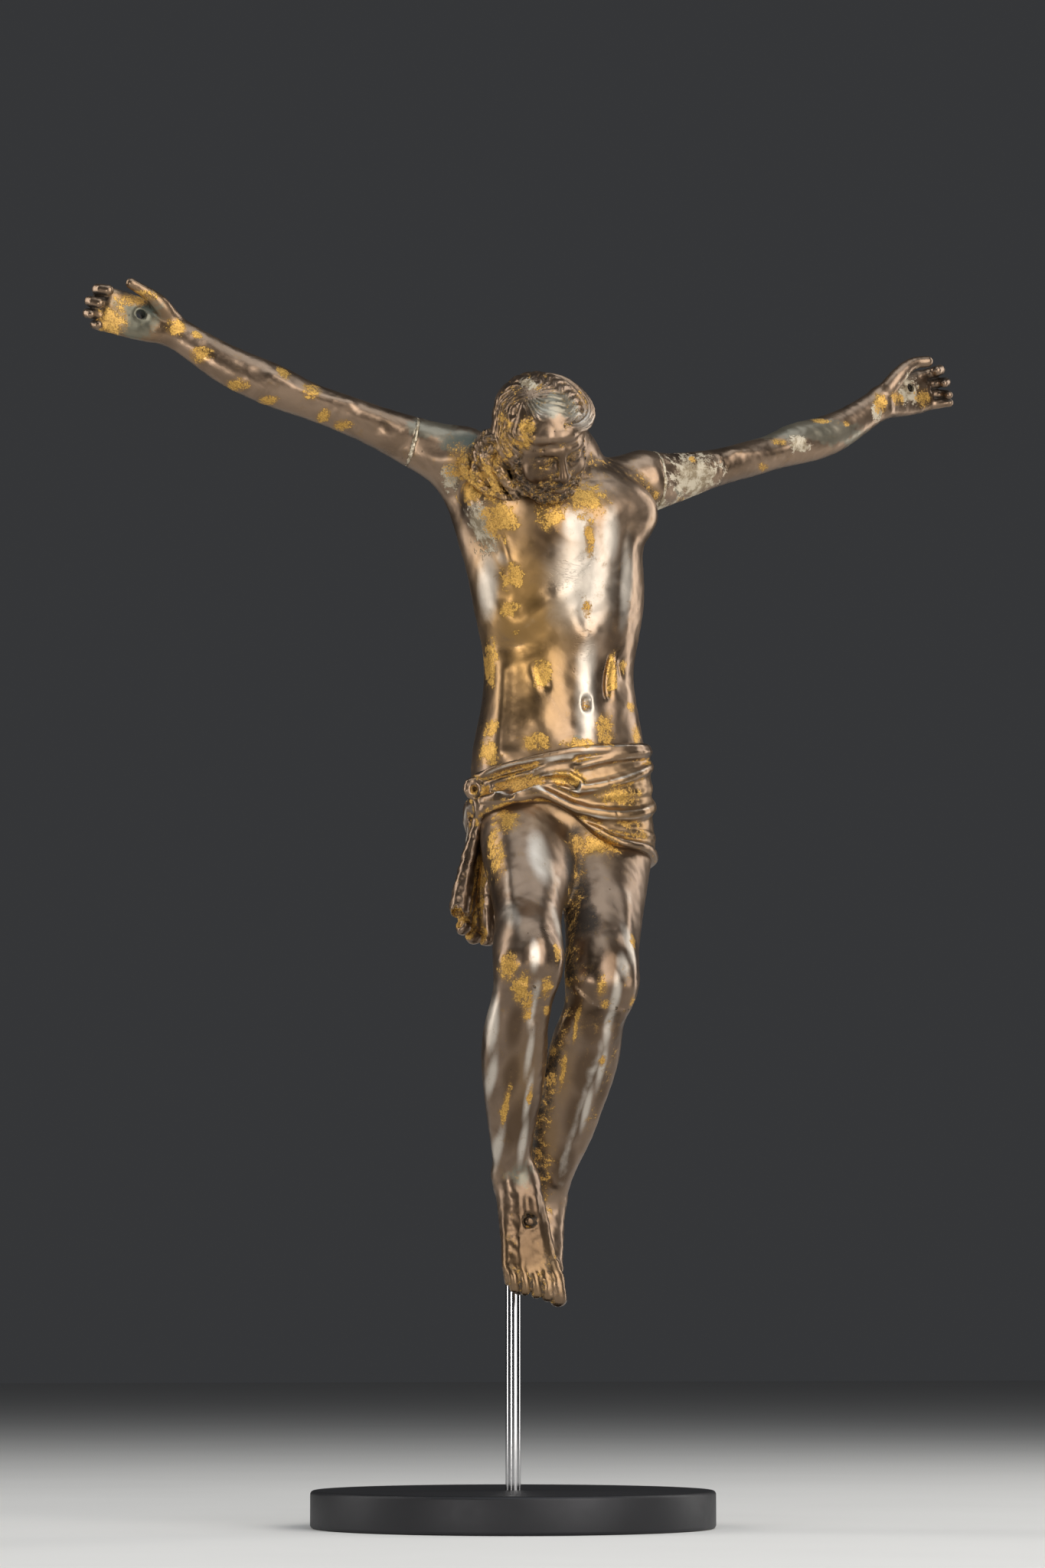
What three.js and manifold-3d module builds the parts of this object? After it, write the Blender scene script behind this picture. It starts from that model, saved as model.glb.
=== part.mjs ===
// A bronze corpus figure from a crucifix, held up by a steel rod on a round foot plate.
// Millimetres, +Z up. The figure faces -Y and the origin is the centre of the plate's underside.

import * as THREE from 'three';
import Module from 'manifold-3d';
import { mergeVertices } from 'three/addons/utils/BufferGeometryUtils.js';

// Driving dimensions

const figureHeight = 298;        // crown to lowest toe
const toeHeight = 70;            // lowest toe above the ground
const plateDiameter = 130;
const plateThickness = 12;
const plateEdge = 1.2;           // bevel round the plate
const rodDiameter = 5;
const rodInPlate = 8;            // depth of the hole that the rod stands in
const rodInFigure = 14;          // depth of the socket in the seat of the figure
const socketHeight = 126.7;      // mouth of the socket above the toes, in figure units
const fitGap = 0.3;              // clearance between pieces that touch
const palmNailHole = 3;
const footNailHole = 4.4;
const footNailDepth = 3;
const bodyTriangles = 6150;
const armTriangles = 1220;
const bodyStep = 1.1;            // sampling distance on the body, in figure units
const armStep = 1.1;

// The figure is written in units of 1/298 of its height, as it stands above the ground.

const modelHeight = 298;
const modelToe = 70;
const unit = figureHeight / modelHeight;
const lift = toeHeight - modelToe * unit;

// Vectors

const add = (a, b) => [a[0] + b[0], a[1] + b[1], a[2] + b[2]];
const sub = (a, b) => [a[0] - b[0], a[1] - b[1], a[2] - b[2]];
const times = (a, s) => [a[0] * s, a[1] * s, a[2] * s];
const dot = (a, b) => a[0] * b[0] + a[1] * b[1] + a[2] * b[2];
const cross = (a, b) => [a[1] * b[2] - a[2] * b[1], a[2] * b[0] - a[0] * b[2], a[0] * b[1] - a[1] * b[0]];
const span3 = (x, y, z) => Math.sqrt(x * x + y * y + z * z);
const length = (a) => span3(a[0], a[1], a[2]);
const unitVector = (a) => times(a, 1 / length(a));
const mix = (a, b, t) => a + (b - a) * t;
const radians = (degrees) => degrees * Math.PI / 180;

// Curves

function spline(xs, ys) {
  // Natural cubic spline through (xs, ys), sampled into an even table.
  const n = xs.length;
  const curvature = new Array(n).fill(0);
  const work = new Array(n).fill(0);
  for (let i = 1; i < n - 1; i++) {
    const share = (xs[i] - xs[i - 1]) / (xs[i + 1] - xs[i - 1]);
    const pivot = share * curvature[i - 1] + 2;
    curvature[i] = (share - 1) / pivot;
    const bend = (ys[i + 1] - ys[i]) / (xs[i + 1] - xs[i]) - (ys[i] - ys[i - 1]) / (xs[i] - xs[i - 1]);
    work[i] = (6 * bend / (xs[i + 1] - xs[i - 1]) - share * work[i - 1]) / pivot;
  }
  for (let i = n - 2; i >= 0; i--) curvature[i] = curvature[i] * curvature[i + 1] + work[i];
  const steps = 200;
  const table = new Float64Array(steps + 1);
  let span = 0;
  for (let s = 0; s <= steps; s++) {
    const x = mix(xs[0], xs[n - 1], s / steps);
    while (span < n - 2 && x > xs[span + 1]) span++;
    const width = xs[span + 1] - xs[span];
    const a = (xs[span + 1] - x) / width;
    const b = 1 - a;
    const sag = (a * a * a - a) * curvature[span] + (b * b * b - b) * curvature[span + 1];
    table[s] = a * ys[span] + b * ys[span + 1] + sag * width * width / 6;
  }
  return (x) => {
    const place = Math.min(Math.max((x - xs[0]) / (xs[n - 1] - xs[0]), 0), 1) * steps;
    const cell = Math.min(Math.floor(place), steps - 1);
    return mix(table[cell], table[cell + 1], place - cell);
  };
}

function smoothPath(points, pieces) {
  // Points along a natural spline through 3-D points, spaced by chord length.
  const along = [0];
  for (let i = 1; i < points.length; i++) along.push(along[i - 1] + length(sub(points[i], points[i - 1])));
  const axes = [0, 1, 2].map((axis) => spline(along, points.map((p) => p[axis])));
  const end = along[along.length - 1];
  return Array.from({ length: pieces + 1 }, (_, i) => axes.map((f) => f(end * i / pieces)));
}

// Forms. Each has a distance at(x, y, z), a ball that holds it, and the softness of its join.

function blend(a, b, soft) {
  const h = Math.max(soft - Math.abs(a - b), 0) / soft;
  return Math.min(a, b) - h * h * h * soft / 6;
}

function limb(from, to, front, rows, soft, { square = 2, cap = 1 } = {}) {
  // A limb along a straight axis. Rows: share along it, offset to the side, offset to the front,
  // half width, depth in front, depth behind.
  const axis = sub(to, from);
  const reach = length(axis);
  const d = times(axis, 1 / reach);
  const s = unitVector(cross(d, front));
  const g = cross(s, d);
  const shares = rows.map((r) => r[0]);
  const [side, fore, half, ahead, behind] = [1, 2, 3, 4, 5].map((c) => spline(shares, rows.map((r) => r[c])));
  const widest = Math.max(...rows.map((r) => Math.max(r[3], r[4], r[5]) + Math.hypot(r[1], r[2])));
  return {
    soft,
    ball: [...add(from, times(axis, 0.5)), reach / 2 + widest * (1 + cap * 0.2)],
    box: boxAround([from, to], widest),
    at(x, y, z) {
      const px = x - from[0];
      const py = y - from[1];
      const pz = z - from[2];
      const t = (px * d[0] + py * d[1] + pz * d[2]) / reach;
      const k = Math.min(Math.max(t, 0), 1);
      const u = px * s[0] + py * s[1] + pz * s[2] - side(k);
      const v = px * g[0] + py * g[1] + pz * g[2] - fore(k);
      const w = half(k);
      const b = v > 0 ? ahead(k) : behind(k);
      return shell(u, v, (t - k) * reach, w, b, cap * Math.min(w, b), square);
    }
  };
}

function shell(x, y, z, a, b, c, square) {
  // Near-distance to an ellipsoid, or to a squarer one where the power is over 2.
  const px = Math.abs(x / a);
  const py = Math.abs(y / b);
  const pz = Math.abs(z / c);
  const round = span3(px, py, pz);
  const k = square === 2 ? round : (px ** square + py ** square + pz ** square) ** (1 / square);
  const slope = span3(px / a, py / b, pz / c);
  return slope < 1e-9 ? -Math.min(a, b, c) : (k - 1) * round / slope;
}

function column(rows, soft, square, cap) {
  // An upright trunk. Rows: height, centre x, centre y, half width, depth in front, depth behind, turn.
  const heights = rows.map((r) => r[0]);
  const track = (c) => spline(heights, rows.map((r) => r[c]));
  const [cx, cy, half, ahead, behind, turn] = [1, 2, 3, 4, 5, 6].map(track);
  const low = heights[0];
  const high = heights[heights.length - 1];
  const middle = (low + high) / 2;
  return {
    soft,
    ball: [cx(middle), cy(middle), middle, (high - low) / 2 + 40],
    box: boxAround(rows.map((r) => [r[1], r[2], r[0]]), Math.max(...rows.map((r) => r[3]))),
    at(x, y, z) {
      const k = Math.min(Math.max(z, low), high);
      const angle = radians(turn(k));
      const dx = x - cx(k);
      const dy = y - cy(k);
      const u = dx * Math.cos(angle) + dy * Math.sin(angle);
      const v = dx * Math.sin(angle) - dy * Math.cos(angle);
      return shell(u, v, z - k, half(k), v > 0 ? ahead(k) : behind(k), cap, square);
    }
  };
}

function egg(centre, radii, soft, axes = [[1, 0, 0], [0, 1, 0], [0, 0, 1]]) {
  return {
    soft,
    ball: [...centre, Math.max(...radii)],
    box: boxAround([centre], Math.max(...radii)),
    at(x, y, z) {
      const px = x - centre[0];
      const py = y - centre[1];
      const pz = z - centre[2];
      const [u, v, w] = axes.map((a) => px * a[0] + py * a[1] + pz * a[2]);
      return shell(u, v, w, radii[0], radii[1], radii[2], 2);
    }
  };
}

function boxAround(points, extra) {
  return [
    [0, 1, 2].map((a) => Math.min(...points.map((p) => p[a])) - extra),
    [0, 1, 2].map((a) => Math.max(...points.map((p) => p[a])) + extra)
  ];
}

function ballAround(points, extra) {
  const [low, high] = boxAround(points, 0);
  const centre = times(add(low, high), 0.5);
  return [...centre, length(sub(high, low)) / 2 + extra];
}

function nearPath(points, flat, use) {
  // Finds the nearest place on a polyline and uses its squared distance and its share of the way.
  const legs = points.slice(1).map((b, i) => {
    const a = points[i];
    const [bx, by, bz] = [b[0] - a[0], (b[1] - a[1]) * flat, b[2] - a[2]];
    return [...a, bx, by, bz, 1 / (bx * bx + by * by + bz * bz)];
  });
  const table = Float64Array.from(legs.flat());
  return (x, y, z) => {
    let best = Infinity;
    let place = 0;
    for (let i = 0; i < table.length; i += 7) {
      const ax = x - table[i];
      const ay = (y - table[i + 1]) * flat;
      const az = z - table[i + 2];
      const bx = table[i + 3];
      const by = table[i + 4];
      const bz = table[i + 5];
      const t = Math.min(Math.max((ax * bx + ay * by + az * bz) * table[i + 6], 0), 1);
      const square = (ax - bx * t) ** 2 + (ay - by * t) ** 2 + (az - bz * t) ** 2;
      if (square < best) {
        best = square;
        place = i / 7 + t;
      }
    }
    return use(best, place / legs.length);
  };
}

function tube(points, radii, soft, pieces = 8) {
  // A round, tapering rope or finger through the points.
  const path = points.length > 2 ? smoothPath(points, pieces) : points;
  const radius = spline(radii.map((_, i) => i / (radii.length - 1)), radii);
  return {
    soft,
    ball: ballAround(path, Math.max(...radii)),
    box: boxAround(path, Math.max(...radii)),
    at: nearPath(path, 1, (square, place) => Math.sqrt(square) - radius(place))
  };
}

function stroke(points, width, height, flat = 1) {
  // A soft ridge (height over 0) or hollow (under 0) that follows a line on the surface.
  const path = points.length > 2 ? smoothPath(points, 8) : points;
  return {
    ball: ballAround(path, 2.6 * width / flat),
    rise: nearPath(path, flat, (square) => height * Math.exp(-square / (width * width)))
  };
}

function boxOf(forms, room) {
  // The lowest and highest corners of a box that holds the forms, with room round them.
  const boxes = forms.map((form) => form.box);
  return [
    [0, 1, 2].map((a) => Math.min(...boxes.map((b) => b[0][a])) - room),
    [0, 1, 2].map((a) => Math.max(...boxes.map((b) => b[1][a])) + room)
  ];
}

function outside(ball, x, y, z) {
  return span3(x - ball[0], y - ball[1], z - ball[2]) - ball[3];
}

function joined(forms) {
  return (x, y, z) => {
    let d = 1e3;
    for (const form of forms) {
      if (outside(form.ball, x, y, z) > d + form.soft) continue;
      d = blend(d, form.at(x, y, z), form.soft);
    }
    return d;
  };
}

function raised(strokes, x, y, z) {
  let rise = 0;
  for (const s of strokes) if (outside(s.ball, x, y, z) < 0) rise += s.rise(x, y, z);
  return rise;
}

// Trunk, seen from its own front: narrow at the waist, with a light turn to the left below.

const trunk = column([
  [206, 12.5, -12.5, 24.0, 16.0, 17.0, -9],
  [213, 12.3, -13.2, 27.4, 18.0, 19.0, -9],
  [222, 11.7, -14.0, 28.6, 19.5, 20.0, -9],
  [231, 11.0, -14.8, 28.6, 20.0, 19.5, -8],
  [240, 10.3, -15.6, 28.8, 20.0, 18.5, -7],
  [250, 9.6, -16.6, 28.0, 19.3, 17.3, -5],
  [260, 9.4, -17.6, 26.2, 18.3, 16.5, -3],
  [271, 8.8, -18.6, 24.7, 17.5, 16.0, 0],
  [283, 8.6, -19.8, 25.7, 17.9, 16.8, 1],
  [294, 7.9, -21.0, 28.0, 19.2, 18.0, 2],
  [305, 7.0, -22.2, 29.2, 20.6, 19.2, 3],
  [316, 5.8, -23.2, 30.3, 21.3, 20.2, 3],
  [326, 5.2, -24.0, 31.3, 20.0, 20.0, 3],
  [335, 5.0, -24.0, 29.0, 14.0, 14.0, 3]
], 6, 2.3, 9);

const shoulderRight = [-26, -24, 342.6];
const shoulderLeft = [38, -20, 340];
const wristRight = [-118.5, -5, 381.3];
const wristLeft = [131.3, -4, 375.2];
const forward = [0, -1, 0];

const shoulders = [
  egg([1, -22, 337], [27, 13, 8.0], 7),
  tube([[-10, -22, 337.5], shoulderRight], [9.0, 8.6], 5),
  tube([[22, -21, 336.5], shoulderLeft], [8.6, 8.8], 6),
  tube([[-31.5, -21, 340], [-24.0, -21, 330], [-19.5, -21, 317], [-16.5, -21, 303]],
    [6.0, 6.8, 6.2, 4.0], 6),
  tube([[36, -19, 337], [32.5, -20, 325], [30, -21, 312]], [5.5, 5.5, 4.5], 7),
  egg([-13, -33, 328], [16, 10, 12], 8),
  egg([21, -32, 326], [17, 10, 12], 8),
  egg([-12.5, -11.6, 322], [8.5, 8.4, 14], 8),
  egg([23.0, -10.8, 320], [8.5, 8.4, 14], 8)
];

const upperArmRight = limb(shoulderRight, wristRight, forward, [
  [0.00, -0.8, 0, 9.6, 9.5, 9.5],
  [0.10, -1.9, 0, 8.9, 8.6, 8.6],
  [0.20, -2.3, 0, 7.6, 7.5, 7.5],
  [0.30, -2.5, 0, 6.5, 7.0, 6.8],
  [0.42, -2.9, 0, 5.9, 6.3, 6.3],
  [0.52, -3.5, 0, 5.9, 5.6, 6.2],
  [0.62, -3.6, 0, 6.8, 5.9, 6.2],
  [0.72, -3.7, 0, 6.8, 5.6, 5.8],
  [0.82, -3.2, 0, 6.3, 5.0, 5.0],
  [0.91, -1.7, 0, 5.6, 4.2, 4.2],
  [1.00, 0, 0, 5.2, 3.7, 3.7]
], 6, { cap: 0.8 });

const upperArmLeft = limb(shoulderLeft, wristLeft, forward, [
  [0.00, 1.3, 0, 9.6, 9.5, 9.5],
  [0.08, 2.2, 0, 8.6, 8.4, 8.4],
  [0.18, 3, 0, 7.3, 7.3, 7.3],
  [0.30, 3.8, 0, 6.0, 6.6, 6.6],
  [0.43, 4.4, 0, 5.9, 6.1, 6.2],
  [0.51, 4.5, 0, 5.9, 5.6, 6.2],
  [0.60, 4.3, 0, 6.8, 5.9, 6.2],
  [0.70, 4.8, 0, 6.9, 5.7, 5.8],
  [0.80, 4.3, 0, 6.4, 5.1, 5.1],
  [0.90, 2.3, 0, 5.7, 4.3, 4.3],
  [1.00, -0.2, 0, 5.4, 3.8, 3.8]
], 6, { cap: 0.8 });

// Hands: a palm that faces forward, a thumb on its upper edge and four curled fingers.

function hand(wrist, palmEnd, thumb, thumbRadii, fingers) {
  const palm = limb(wrist, palmEnd, forward, [
    [0.00, 0, 0, 5.2, 3.5, 3.8],
    [0.30, 0, 0, 6.3, 3.1, 3.7],
    [0.60, 0, 0, 7.0, 2.5, 3.3],
    [0.85, 0, 0, 7.2, 2.4, 2.9],
    [1.00, 0, 0, 7.0, 2.4, 2.6]
  ], 3, { square: 2.6, cap: 0.7 });
  const digits = fingers.map(({ path, radii }) => tube(path, radii, 1.0, 6));
  return [palm, tube(thumb, thumbRadii, 2.2), ...digits];
}

const handRight = hand(wristRight, [-139, -3.6, 386.6],
  [[-119.5, -6.5, 385], [-123.3, -8.6, 388.3], [-128, -9.2, 391.6], [-133, -9.2, 394.2]],
  [2.9, 2.8, 2.0, 1.7],
  [
    { path: [[-137, -3.6, 391.0], [-142.0, -4.6, 391.8], [-143.6, -8.4, 391.6], [-141.0, -11.0, 390.9]],
      radii: [2.0, 1.9, 1.8, 1.8] },
    { path: [[-139, -3.4, 387.6], [-144.0, -4.4, 388.2], [-146.0, -7.6, 387.8], [-143.7, -10.6, 386.6]],
      radii: [2.0, 1.9, 1.7, 1.6] },
    { path: [[-139, -3.2, 384.3], [-144.0, -4.2, 384.4], [-146.8, -6.6, 384.0], [-146.2, -9.6, 383.0]],
      radii: [1.9, 1.8, 1.5, 1.3] },
    { path: [[-138, -3.2, 381.0], [-142.2, -4.2, 380.8], [-144.3, -6.6, 380.6], [-143.4, -9.0, 380.0]],
      radii: [1.8, 1.6, 1.4, 1.3] }
  ]);

const handLeft = hand(wristLeft, [150, 2.2, 382.2],
  [[133.0, -6.0, 380.0], [137.6, -6.6, 385.5], [142.5, -6.0, 389.3], [147.6, -6.0, 390.3]],
  [3.0, 2.8, 2.1, 1.9],
  [
    { path: [[148, 1.6, 386.6], [152.6, 1.6, 388.2], [154.0, -2.4, 388.6], [151.4, -5.6, 387.4]],
      radii: [2.0, 1.9, 1.8, 1.6] },
    { path: [[149.6, 2.0, 383.6], [154.4, 2.0, 384.8], [156.6, -1.4, 384.8], [154.6, -4.6, 383.4]],
      radii: [2.0, 1.8, 1.6, 1.3] },
    { path: [[149.8, 2.2, 380.4], [154.4, 2.4, 381.0], [157.0, 0.0, 380.8], [157.0, -2.8, 380.0]],
      radii: [1.9, 1.8, 1.6, 1.4] },
    { path: [[149.0, 2.2, 377.4], [153.0, 2.0, 377.4], [156.0, 0.6, 377.6], [158.0, -1.0, 377.8]],
      radii: [1.8, 1.7, 1.5, 1.4] }
  ]);

// Legs: the right one lies over the left, knees forward and feet pointing down.

const hipRight = [-2, -18, 226];
const kneeRight = [-15.5, -57.5, 176.5];
const ankleRight = [-9.5, -28, 112];
const toesRight = [-4.7, -32.3, 79.3];
const hipLeft = [27, -13, 224];
const kneeLeft = [11, -51.5, 171.5];
const ankleLeft = [5, -16, 104];
const toesLeft = [0.8, -20.3, 79.3];

const thighRight = limb(hipRight, kneeRight, forward, [
  [0.00, 0, 0, 14.6, 12.5, 14.0],
  [0.20, -0.7, 0, 15.8, 12.8, 13.5],
  [0.40, -0.7, 0, 14.2, 11.8, 12.0],
  [0.60, 0, 0, 11.4, 10.3, 10.5],
  [0.80, 0, 0, 10.1, 9.0, 9.2],
  [1.00, 0, 0, 9.0, 7.0, 8.2]
], 6);
const shinRight = limb(kneeRight, ankleRight, forward, [
  [0.00, 0, 0, 8.8, 6.0, 8.0],
  [0.14, 1.3, 0, 9.3, 6.8, 9.0],
  [0.27, 2.4, 0, 10.0, 7.2, 10.8],
  [0.40, 2.6, 0, 10.6, 6.8, 11.6],
  [0.54, 2.4, 0, 10.1, 6.4, 10.8],
  [0.68, 2.1, 0, 8.8, 6.0, 9.0],
  [0.82, 2, 0, 7.0, 5.6, 7.0],
  [0.91, 1.4, 0, 6.4, 5.4, 6.4],
  [1.00, 0.3, 0, 6.5, 5.6, 6.2]
], 8, { cap: 0.45 });
const footRight = limb(ankleRight, toesRight, forward, [
  [0.00, 0.0, 0.0, 6.6, 6.0, 6.6],
  [0.20, 0.0, 0.0, 7.2, 6.2, 6.0],
  [0.45, 0.0, 0.0, 8.0, 5.2, 5.2],
  [0.70, 0.3, 0.0, 8.6, 4.2, 4.8],
  [0.88, 0.6, 0.0, 9.1, 3.6, 4.4],
  [1.00, 0.8, 0.0, 9.0, 3.2, 3.8]
], 4, { square: 2.3, cap: 0.6 });

const thighLeft = limb(hipLeft, kneeLeft, forward, [
  [0.00, 0, 0, 14.2, 12.5, 14.0],
  [0.22, 0, 0, 14.9, 13.0, 13.5],
  [0.42, 0, 0, 13.8, 12.2, 12.4],
  [0.62, 0, 0, 12.6, 11.0, 11.2],
  [0.82, 0, 0, 11.5, 9.3, 9.8],
  [1.00, 0, 0, 10.4, 7.2, 8.8]
], 6);
const shinLeft = limb(kneeLeft, ankleLeft, forward, [
  [0.00, 0, 0, 9.8, 6.2, 8.0],
  [0.14, -0.2, 0, 10.0, 6.9, 9.4],
  [0.27, -0.5, 0, 11.2, 7.2, 11.4],
  [0.40, -0.6, 0, 11.5, 6.8, 11.8],
  [0.55, 0.3, 0, 11.3, 6.4, 10.4],
  [0.70, 0, 0, 9.7, 6.0, 8.6],
  [0.83, 0.2, 0, 7.7, 5.6, 7.0],
  [1.00, 0.2, 0, 6.6, 5.6, 6.0]
], 8, { cap: 0.45 });
const footLeft = limb(ankleLeft, toesLeft, forward, [
  [0.00, 0.0, 0.0, 6.4, 5.6, 6.0],
  [0.30, 0.0, 0.0, 7.0, 5.2, 5.2],
  [0.60, 0.0, 0.0, 7.6, 4.4, 4.8],
  [1.00, 0.0, 0.0, 8.0, 3.2, 3.8]
], 4, { square: 2.3, cap: 0.6 });

function toes(root, tip, spread, droop, radii) {
  // Five toes side by side: root and tip are the big toe's, spread leads to the little toe.
  return radii.map((radius, i) => {
    const shift = times(spread, i / 4);
    const up = [0, 0, droop * i / 4];
    const base = add(root, shift);
    const end = add(add(tip, shift), up);
    const knuckle = add(times(add(base, end), 0.5), [0, -1.2, 0.6]);
    return tube([base, knuckle, end], [radius * 0.95, radius * 0.92, radius], 0.8, 6);
  });
}

const toesOfRight = toes([1.0, -33.0, 83], [2.6, -34.8, 72.7], [-14.5, 0.8, 0], 3.4,
  [2.7, 1.95, 1.85, 1.75, 1.65]);
const toesOfLeft = toes([-4.8, -21.4, 85], [-6.0, -23, 76.4], [12.4, 0.4, 0], 2.4, [2.6, 1.9, 1.8, 1.7, 1.6]);

const legs = [
  thighRight, shinRight, footRight,
  thighLeft, shinLeft, footLeft,
  egg([-15.4, -55.2, 177.6], [9.2, 10.8, 12.0], 8),
  egg([12.6, -49.8, 173.2], [10.2, 10.4, 12.0], 8),
  egg([-8.8, -21, 109.5], [4.8, 6.0, 8.0], 6),
  egg([5.2, -11.8, 103.5], [5.2, 5.8, 7.8], 6),
  ...toesOfRight,
  ...toesOfLeft
];

const seat = [
  egg([1, -6, 216], [14.5, 11.5, 13], 6),
  egg([25, -4, 215], [14.5, 11.5, 13], 6)
];

// Head: bowed 45 degrees forward and leaning 15 degrees to the figure's right.

const headCentre = [-8.6, -50, 346.6];
const bow = radians(45);
const lean = radians(15);
const headUp = [-Math.cos(bow) * Math.sin(lean), -Math.sin(bow), Math.cos(bow) * Math.cos(lean)];
const headFore = [Math.sin(bow) * Math.sin(lean), -Math.cos(bow), -Math.sin(bow) * Math.cos(lean)];
const headSide = cross(headUp, headFore);
const headAxes = [headSide, headFore, headUp];
const onHead = (s, f, u) => {
  const level = add(times(headSide, s), times(headFore, f));
  return add(add(headCentre, level), times(headUp, u));
};
const headEgg = (s, f, u, radii, soft) => egg(onHead(s, f, u), radii, soft, headAxes);
const headTube = (points, radii, soft) => tube(points.map((p) => onHead(...p)), radii, soft);
const bothSides = (make) => [-1, 1].map(make).flat();

const neck = [
  tube([[3, -24, 334], [-1, -33, 342], onHead(0, -6, -4)], [11.5, 11.0, 10.2], 5),
  tube([[3, -38, 349], [10.5, -30, 346.5], [19, -22, 339]], [6.6, 6.8, 5.6], 5)
];
const skull = [
  headEgg(0, -1.8, 4.2, [13.2, 16.2, 13.6], 3),
  headEgg(0, 6.2, -4.4, [10.8, 10.4, 13.4], 5),
  headEgg(0, 9.6, -12.8, [6.6, 6.2, 5.4], 4)
];
const features = [
  headTube([[-9.2, 9.6, 1.0], [-4.6, 13.8, 3.0], [0, 14.4, 2.6], [4.6, 13.8, 3.0], [9.2, 9.6, 1.0]],
    [0.9, 1.5, 1.4, 1.5, 0.9], 4.2),
  headTube([[0, 14.4, 3.2], [0, 16.4, -1.6], [0, 18.0, -5.0]], [1.2, 1.25, 1.7], 2.4),
  headEgg(0, 18.0, -5.3, [1.75, 1.9, 1.6], 1.2),
  headTube([[-3.6, 14.4, -10.0], [-1.2, 16.0, -9.5], [0, 16.1, -9.7], [1.2, 16.0, -9.5], [3.6, 14.4, -10.0]],
    [0.5, 0.85, 0.8, 0.85, 0.5], 0.8),
  headTube([[-3.0, 14.4, -10.9], [0, 15.9, -11.6], [3.0, 14.4, -10.9]], [0.6, 1.1, 0.6], 0.8),
  ...bothSides((side) => [
    headEgg(side * 2.0, 16.2, -5.9, [1.25, 1.9, 1.2], 1.0),
    headEgg(side * 4.9, 12.0, -1.0, [3.2, 3.0, 2.6], 0.8),
    headEgg(side * 6.4, 10.4, -5.8, [4.2, 4.4, 4.4], 4)
  ])
];
const sockets = bothSides((side) => [headEgg(side * 4.8, 16.6, -0.6, [3.8, 2.7, 2.6], 2.4)]);

// Hair and beard

const hairCentre = [0, -2.2, 3.8];
const hair = [
  headEgg(...hairCentre, [14.4, 16.8, 14.2], 1.5),
  headEgg(0, -11, -6, [11.5, 7, 9], 4),
  headEgg(-11.5, -1, -2, [4.2, 8.5, 8.5], 3),
  egg([-21, -37.5, 337], [5.5, 6, 9], 4),
  headTube([[12.2, 3.0, 4.0], [12.6, -3, 0], [11.0, -8, -6]], [2.2, 2.6, 2.4], 2)
];

function roll(line, count, girth, turns) {
  // A thick lock made of strands that wind round its line, girth being its radius along the way.
  const path = smoothPath(line, 16);
  const reach = path.map((_, i) => girth(i / 16));
  return Array.from({ length: count }, (_, strand) => {
    const points = path.map((p, i) => {
      const out = unitVector(sub(p, onHead(...hairCentre)));
      const along = unitVector(sub(path[Math.min(i + 1, 16)], path[Math.max(i - 1, 0)]));
      const angle = 2 * Math.PI * (strand / count + turns * i / 16);
      const ring = add(times(out, Math.cos(angle)), times(cross(along, out), Math.sin(angle)));
      return add(p, times(ring, 0.5 * reach[i]));
    });
    return tube(points, reach.map((r) => 0.56 * r), 0.6, 20);
  });
}

const rollLine = [[1.5, -9.5, 15.6], [7.6, -6.0, 14.2], [12.0, -0.6, 11.2], [12.9, 5.0, 8.4],
  [9.6, 9.8, 7.9], [5.0, 12.2, 8.8], [1.6, 12.4, 10.6]].map((p) => onHead(...p));
const rollGirth = (t) => 2.9 * Math.sin(Math.PI * (0.07 + 0.88 * t)) ** 0.7;
const forelock = roll(rollLine, 6, rollGirth, 0.22);
const hairEdge = headTube(
  [[9.6, 8.8, 7.4], [3.6, 12.9, 7.6], [-3.6, 12.7, 7.6], [-9.6, 8.6, 6.6], [-13.0, 2.0, 4.0]],
  [1.6, 2.3, 2.5, 2.2, 1.4], 3.2);
const beard = [
  headEgg(0, 10.4, -14.2, [6.4, 5.8, 5.0], 3),
  ...bothSides((side) => [
    headTube([[side * 11.2, 3, -2], [side * 9.4, 8.0, -9], [side * 4.6, 11.8, -14.6]], [2.0, 2.6, 3.0], 2),
    headTube([[0, 17.4, -7.8], [side * 3.6, 15.8, -9.2], [side * 6.4, 12.8, -12.2]], [0.8, 1.3, 0.9], 0.8)
  ])
];

// Strands of hair leave the whorl at the crown and are combed down with a light sweep.
const whorl = unitVector(add(times(headSide, -0.41), add(times(headFore, 0.16), times(headUp, 0.9))));
const whorlSide = unitVector(cross(whorl, headFore));
const whorlFore = cross(whorl, whorlSide);
const strandCount = 24;
const strandHeight = 0.42;
const curlPitch = 3.4;           // spacing of the curls of the beard and of the side locks
const curlHeight = 0.35;

function strands(x, y, z) {
  const way = sub([x, y, z], onHead(...hairCentre));
  const far = length(way) || 1;
  const fall = Math.acos(Math.min(Math.max(dot(way, whorl) / far, -1), 1));
  const round = Math.atan2(dot(way, whorlSide), dot(way, whorlFore));
  const sweep = 2.2 * fall + 0.5 * Math.sin(2 * round + 3 * fall);
  return strandHeight * Math.min(fall * 2.5, 1) * Math.cos(strandCount * round + 6 * sweep);
}

function curls(x, y, z) {
  const k = 2 * Math.PI / curlPitch;
  const across = Math.sin(k * x + 1.3 * Math.sin(k * 0.6 * z));
  return curlHeight * across * Math.cos(k * 0.8 * z + Math.sin(k * 0.5 * y));
}

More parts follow.
